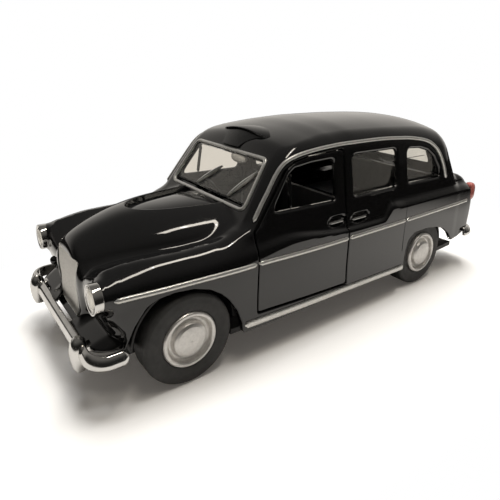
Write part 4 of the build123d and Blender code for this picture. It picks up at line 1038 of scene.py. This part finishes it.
for side_name, sign in (("left", 1), ("right", -1)):
    lamp = make_object("tail_lens_" + side_name, pillow((-58.3, sign * 20.0, 23.2), (1.35, 1.45, 2.7)), RED, "cab")
    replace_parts(lamp, "tail_lamp_" + side_name)


SIGN_HALF = 9.1
SIGN_RIM_Z = 45.25
SIGN_FACE_Z = 44.9


def sign_shape():
    """The blank roof sign: a curved cap that grows out of the roof, over a face that leans forward."""
    cap = []
    for y in np.linspace(-SIGN_HALF, SIGN_HALF, 37):
        end = 1 - (abs(y) / SIGN_HALF) ** 6
        rim = SIGN_RIM_Z - 1.35 * (y / SIGN_HALF) ** 2
        back = float(roofline(np.array(5.0))) - 0.9
        reach = 12.2 + 1.6 * end
        cap.append([(4.5, y, back - 0.6), (5.0, y, back), (9.0, y, rim - 0.10), (reach - 0.3, y, rim),
                    (reach, y, rim - 0.12), (reach - 0.05, y, rim - 0.42), (9.0, y, rim - 1.1), (5.0, y, back - 1.2)])
    face = []
    for t in np.linspace(0, 1, 16):
        half = 3.4 + 4.9 * (1 - t) ** 1.7
        x = 13.0 + 3.9 * t
        ring = []
        across = np.linspace(-1, 1, 21)
        for q, z in zip(across, SIGN_FACE_Z - 3.6 * t - 1.15 * (across * half / 8.3) ** 2 * (1 - t)):
            ring.append((x + 0.25 * (1 - q * q), q * half, z))
        for q, z in zip(across[::-1], SIGN_FACE_Z - 3.6 * t - 1.15 * (across[::-1] * half / 8.3) ** 2 * (1 - t)):
            ring.append((x - 2.2, q * half * 0.96, z - 0.9))
        face.append(ring)
    return merged(skin(cap), skin(face))


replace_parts(make_object("sign_cap", sign_shape(), GLOSS_PLASTIC, "cab"), "roof_sign")


def wiper(foot, tip):
    line = [tuple(np.array(foot) + (np.array(tip) - np.array(foot)) * t) for t in np.linspace(0, 1, 16)]
    path = on_front(line)
    return bead(path, cabin_form, 0.95, 0.5, sink=0.5, tip=5.5)


WIPERS = (((8.1, 31.7), (13.6, 37.7)), ((-5.2, 31.8), (0.9, 36.7)))
make_object("wipers", merged(*(wiper(foot, tip) for foot, tip in WIPERS)), SILVER, "cab")
make_object("mirror", pillow((14.8, 1.2, 38.0), (0.8, 3.0, 1.25), 0.8), GRILLE_SILVER, "cab")


# Camera, floor and light
CAMERA_AT = (77.75 + SHIFT_X, 90.59, 61.19)
CAMERA_RIGHT = (-0.79992, 0.59968, 0.02264)
CAMERA_DOWN = (0.14590, 0.23094, -0.96197)
FOCAL_PIXELS = 466.5
FRAME_PIXELS = 500
CENTRE_PIXELS = (255.8, 189.5)


def add_camera():
    data = bpy.data.cameras.new("camera")
    camera = bpy.data.objects.new("camera", data)
    bpy.context.scene.collection.objects.link(camera)
    right = Vector(CAMERA_RIGHT)
    up = -Vector(CAMERA_DOWN)
    back = right.cross(up)
    turn = Matrix((right, up, back)).transposed().to_4x4()
    camera.matrix_world = Matrix.Translation(Vector(CAMERA_AT) * MM) @ turn
    data.sensor_width = 36
    data.lens = FOCAL_PIXELS / FRAME_PIXELS * data.sensor_width
    data.shift_x = (FRAME_PIXELS / 2 - CENTRE_PIXELS[0]) / FRAME_PIXELS
    data.shift_y = (CENTRE_PIXELS[1] - FRAME_PIXELS / 2) / FRAME_PIXELS
    data.clip_start = 0.002
    data.clip_end = 20
    bpy.context.scene.camera = camera


def area_light(name, at, aim, size, watts, colour=(1, 1, 1)):
    data = bpy.data.lights.new(name, "AREA")
    data.shape = "RECTANGLE"
    data.size, data.size_y = size
    data.energy = watts
    data.color = colour
    light = bpy.data.objects.new(name, data)
    light.location = at
    light.rotation_euler = (Vector(aim) - Vector(at)).to_track_quat("-Z", "Y").to_euler()
    bpy.context.scene.collection.objects.link(light)
    return light


def smooth_step(tree, value, near, far, low=0.0, high=1.0):
    inputs = {"Value": value, "From Min": near, "From Max": far, "To Min": low, "To Max": high}
    node = add_node(tree, "MapRange", inputs)
    node.interpolation_type = "SMOOTHSTEP"
    return node.outputs["Result"]


def mixed(tree, gate, low, high):
    return add_node(tree, "MixShader", {0: gate, 1: low, 2: high}).outputs[0]


def glow(tree, colour):
    return add_node(tree, "Emission", {"Color": (*colour, 1)}).outputs[0]


def matt(tree, colour):
    return add_node(tree, "BsdfDiffuse", {"Color": (*colour, 1)}).outputs[0]


def backdrop(tree, colour):
    return add_node(tree, "Background", {"Color": (*colour, 1)})


FLOOR_HALF = 1.5
FLOOR_SEEN = (0.99, 0.975, 0.95)
FLOOR_LIFT = (0.06, 0.055, 0.05)
FLOOR_IN_PAINT = (0.62, 0.60, 0.57)
FLOOR_FAR_IN_PAINT = (0.015, 0.014, 0.013)
FLOOR_THROUGH_GLASS = (0.72, 0.66, 0.57)


def add_floor():
    """A white table: it takes the cab's shadow near by and is plain white further out. In the paint it ends sooner."""
    mesh = bpy.data.meshes.new("floor")
    half = FLOOR_HALF
    mesh.from_pydata([(-half, -half, 0), (half, -half, 0), (half, half, 0), (-half, half, 0)], [], [(0, 1, 2, 3)])
    floor = bpy.data.objects.new("floor", mesh)
    bpy.context.scene.collection.objects.link(floor)
    mat = bpy.data.materials.new("floor")
    mat.use_nodes = True
    tree = mat.node_tree
    tree.nodes.clear()
    out = tree.nodes.new("ShaderNodeOutputMaterial")
    rays = tree.nodes.new("ShaderNodeLightPath")
    place = add_node(tree, "TexCoord").outputs["Object"]

    def gate(kind, scale, near, far):
        """For one kind of ray: 0 near the cab, 1 further out than far, on an oval."""
        squashed = add_node(tree, "VectorMath", {0: place, 1: (scale, 1, 1)}, "MULTIPLY").outputs[0]
        away = add_node(tree, "VectorMath", {0: squashed}, "LENGTH").outputs["Value"]
        past = smooth_step(tree, away, near, far)
        return add_node(tree, "Math", {0: rays.outputs[kind], 1: past}, "MULTIPLY").outputs[0]

    bright = add_node(tree, "AddShader", {0: matt(tree, FLOOR_SEEN), 1: glow(tree, FLOOR_LIFT)}).outputs[0]
    shade = mixed(tree, rays.outputs["Is Camera Ray"], matt(tree, FLOOR_IN_PAINT), bright)
    shade = mixed(tree, gate("Is Camera Ray", 0.5, 0.036, 0.062), shade, glow(tree, (1, 1, 1)))
    shade = mixed(tree, gate("Is Glossy Ray", 0.6, 0.072, 0.108), shade, glow(tree, FLOOR_FAR_IN_PAINT))
    shade = mixed(tree, rays.outputs["Is Transmission Ray"], shade, glow(tree, FLOOR_THROUGH_GLASS))
    tree.links.new(shade, out.inputs["Surface"])
    mesh.materials.append(mat)


WALL_WAY = (-0.60, -0.80, 0.0)
WALL_LEVELS = (0.015, 0.62)
CEILING_LEVEL = 0.12
ROOM_COLOUR = (1.0, 0.95, 0.88)
ROOM_THROUGH_GLASS = (0.80, 0.74, 0.64)


def add_world():
    """A white backdrop to the camera; a plain room with a pale wall behind the cab to everything else."""
    world = bpy.data.worlds.new("world")
    bpy.context.scene.world = world
    world.use_nodes = True
    tree = world.node_tree
    tree.nodes.clear()
    out = tree.nodes.new("ShaderNodeOutputWorld")
    rays = tree.nodes.new("ShaderNodeLightPath")
    way = add_node(tree, "TexCoord").outputs["Generated"]
    away = add_node(tree, "VectorMath", {0: way, 1: WALL_WAY}, "DOT_PRODUCT").outputs["Value"]
    wall = smooth_step(tree, away, -0.1, 0.75, *WALL_LEVELS)
    high = smooth_step(tree, add_node(tree, "SeparateXYZ", {0: way}).outputs["Z"], 0.15, 0.85)
    level = add_node(tree, "Mix", {0: high, 2: wall, 3: CEILING_LEVEL}).outputs[0]
    room = backdrop(tree, ROOM_COLOUR)
    tree.links.new(level, room.inputs["Strength"])
    through, white = backdrop(tree, ROOM_THROUGH_GLASS), backdrop(tree, (1, 1, 1))
    shade = mixed(tree, rays.outputs["Is Transmission Ray"], room.outputs[0], through.outputs[0])
    shade = mixed(tree, rays.outputs["Is Camera Ray"], shade, white.outputs[0])
    tree.links.new(shade, out.inputs["Surface"])


add_camera()
add_floor()
add_world()
area_light("strip", (-0.10, 0.12, 0.75), (0, 0, 0), (0.5, 0.08), 1.3, (1.0, 0.93, 0.82))
area_light("lamp", (-0.10, 0.12, 0.74), (0, 0, 0), (0.02, 0.02), 0.08)
fill = area_light("fill", (-0.12, -0.15, 0.8), (0, 0, 0), (0.5, 0.5), 7.5)
fill.visible_glossy = False

bpy.context.scene.view_settings.view_transform = "Standard"
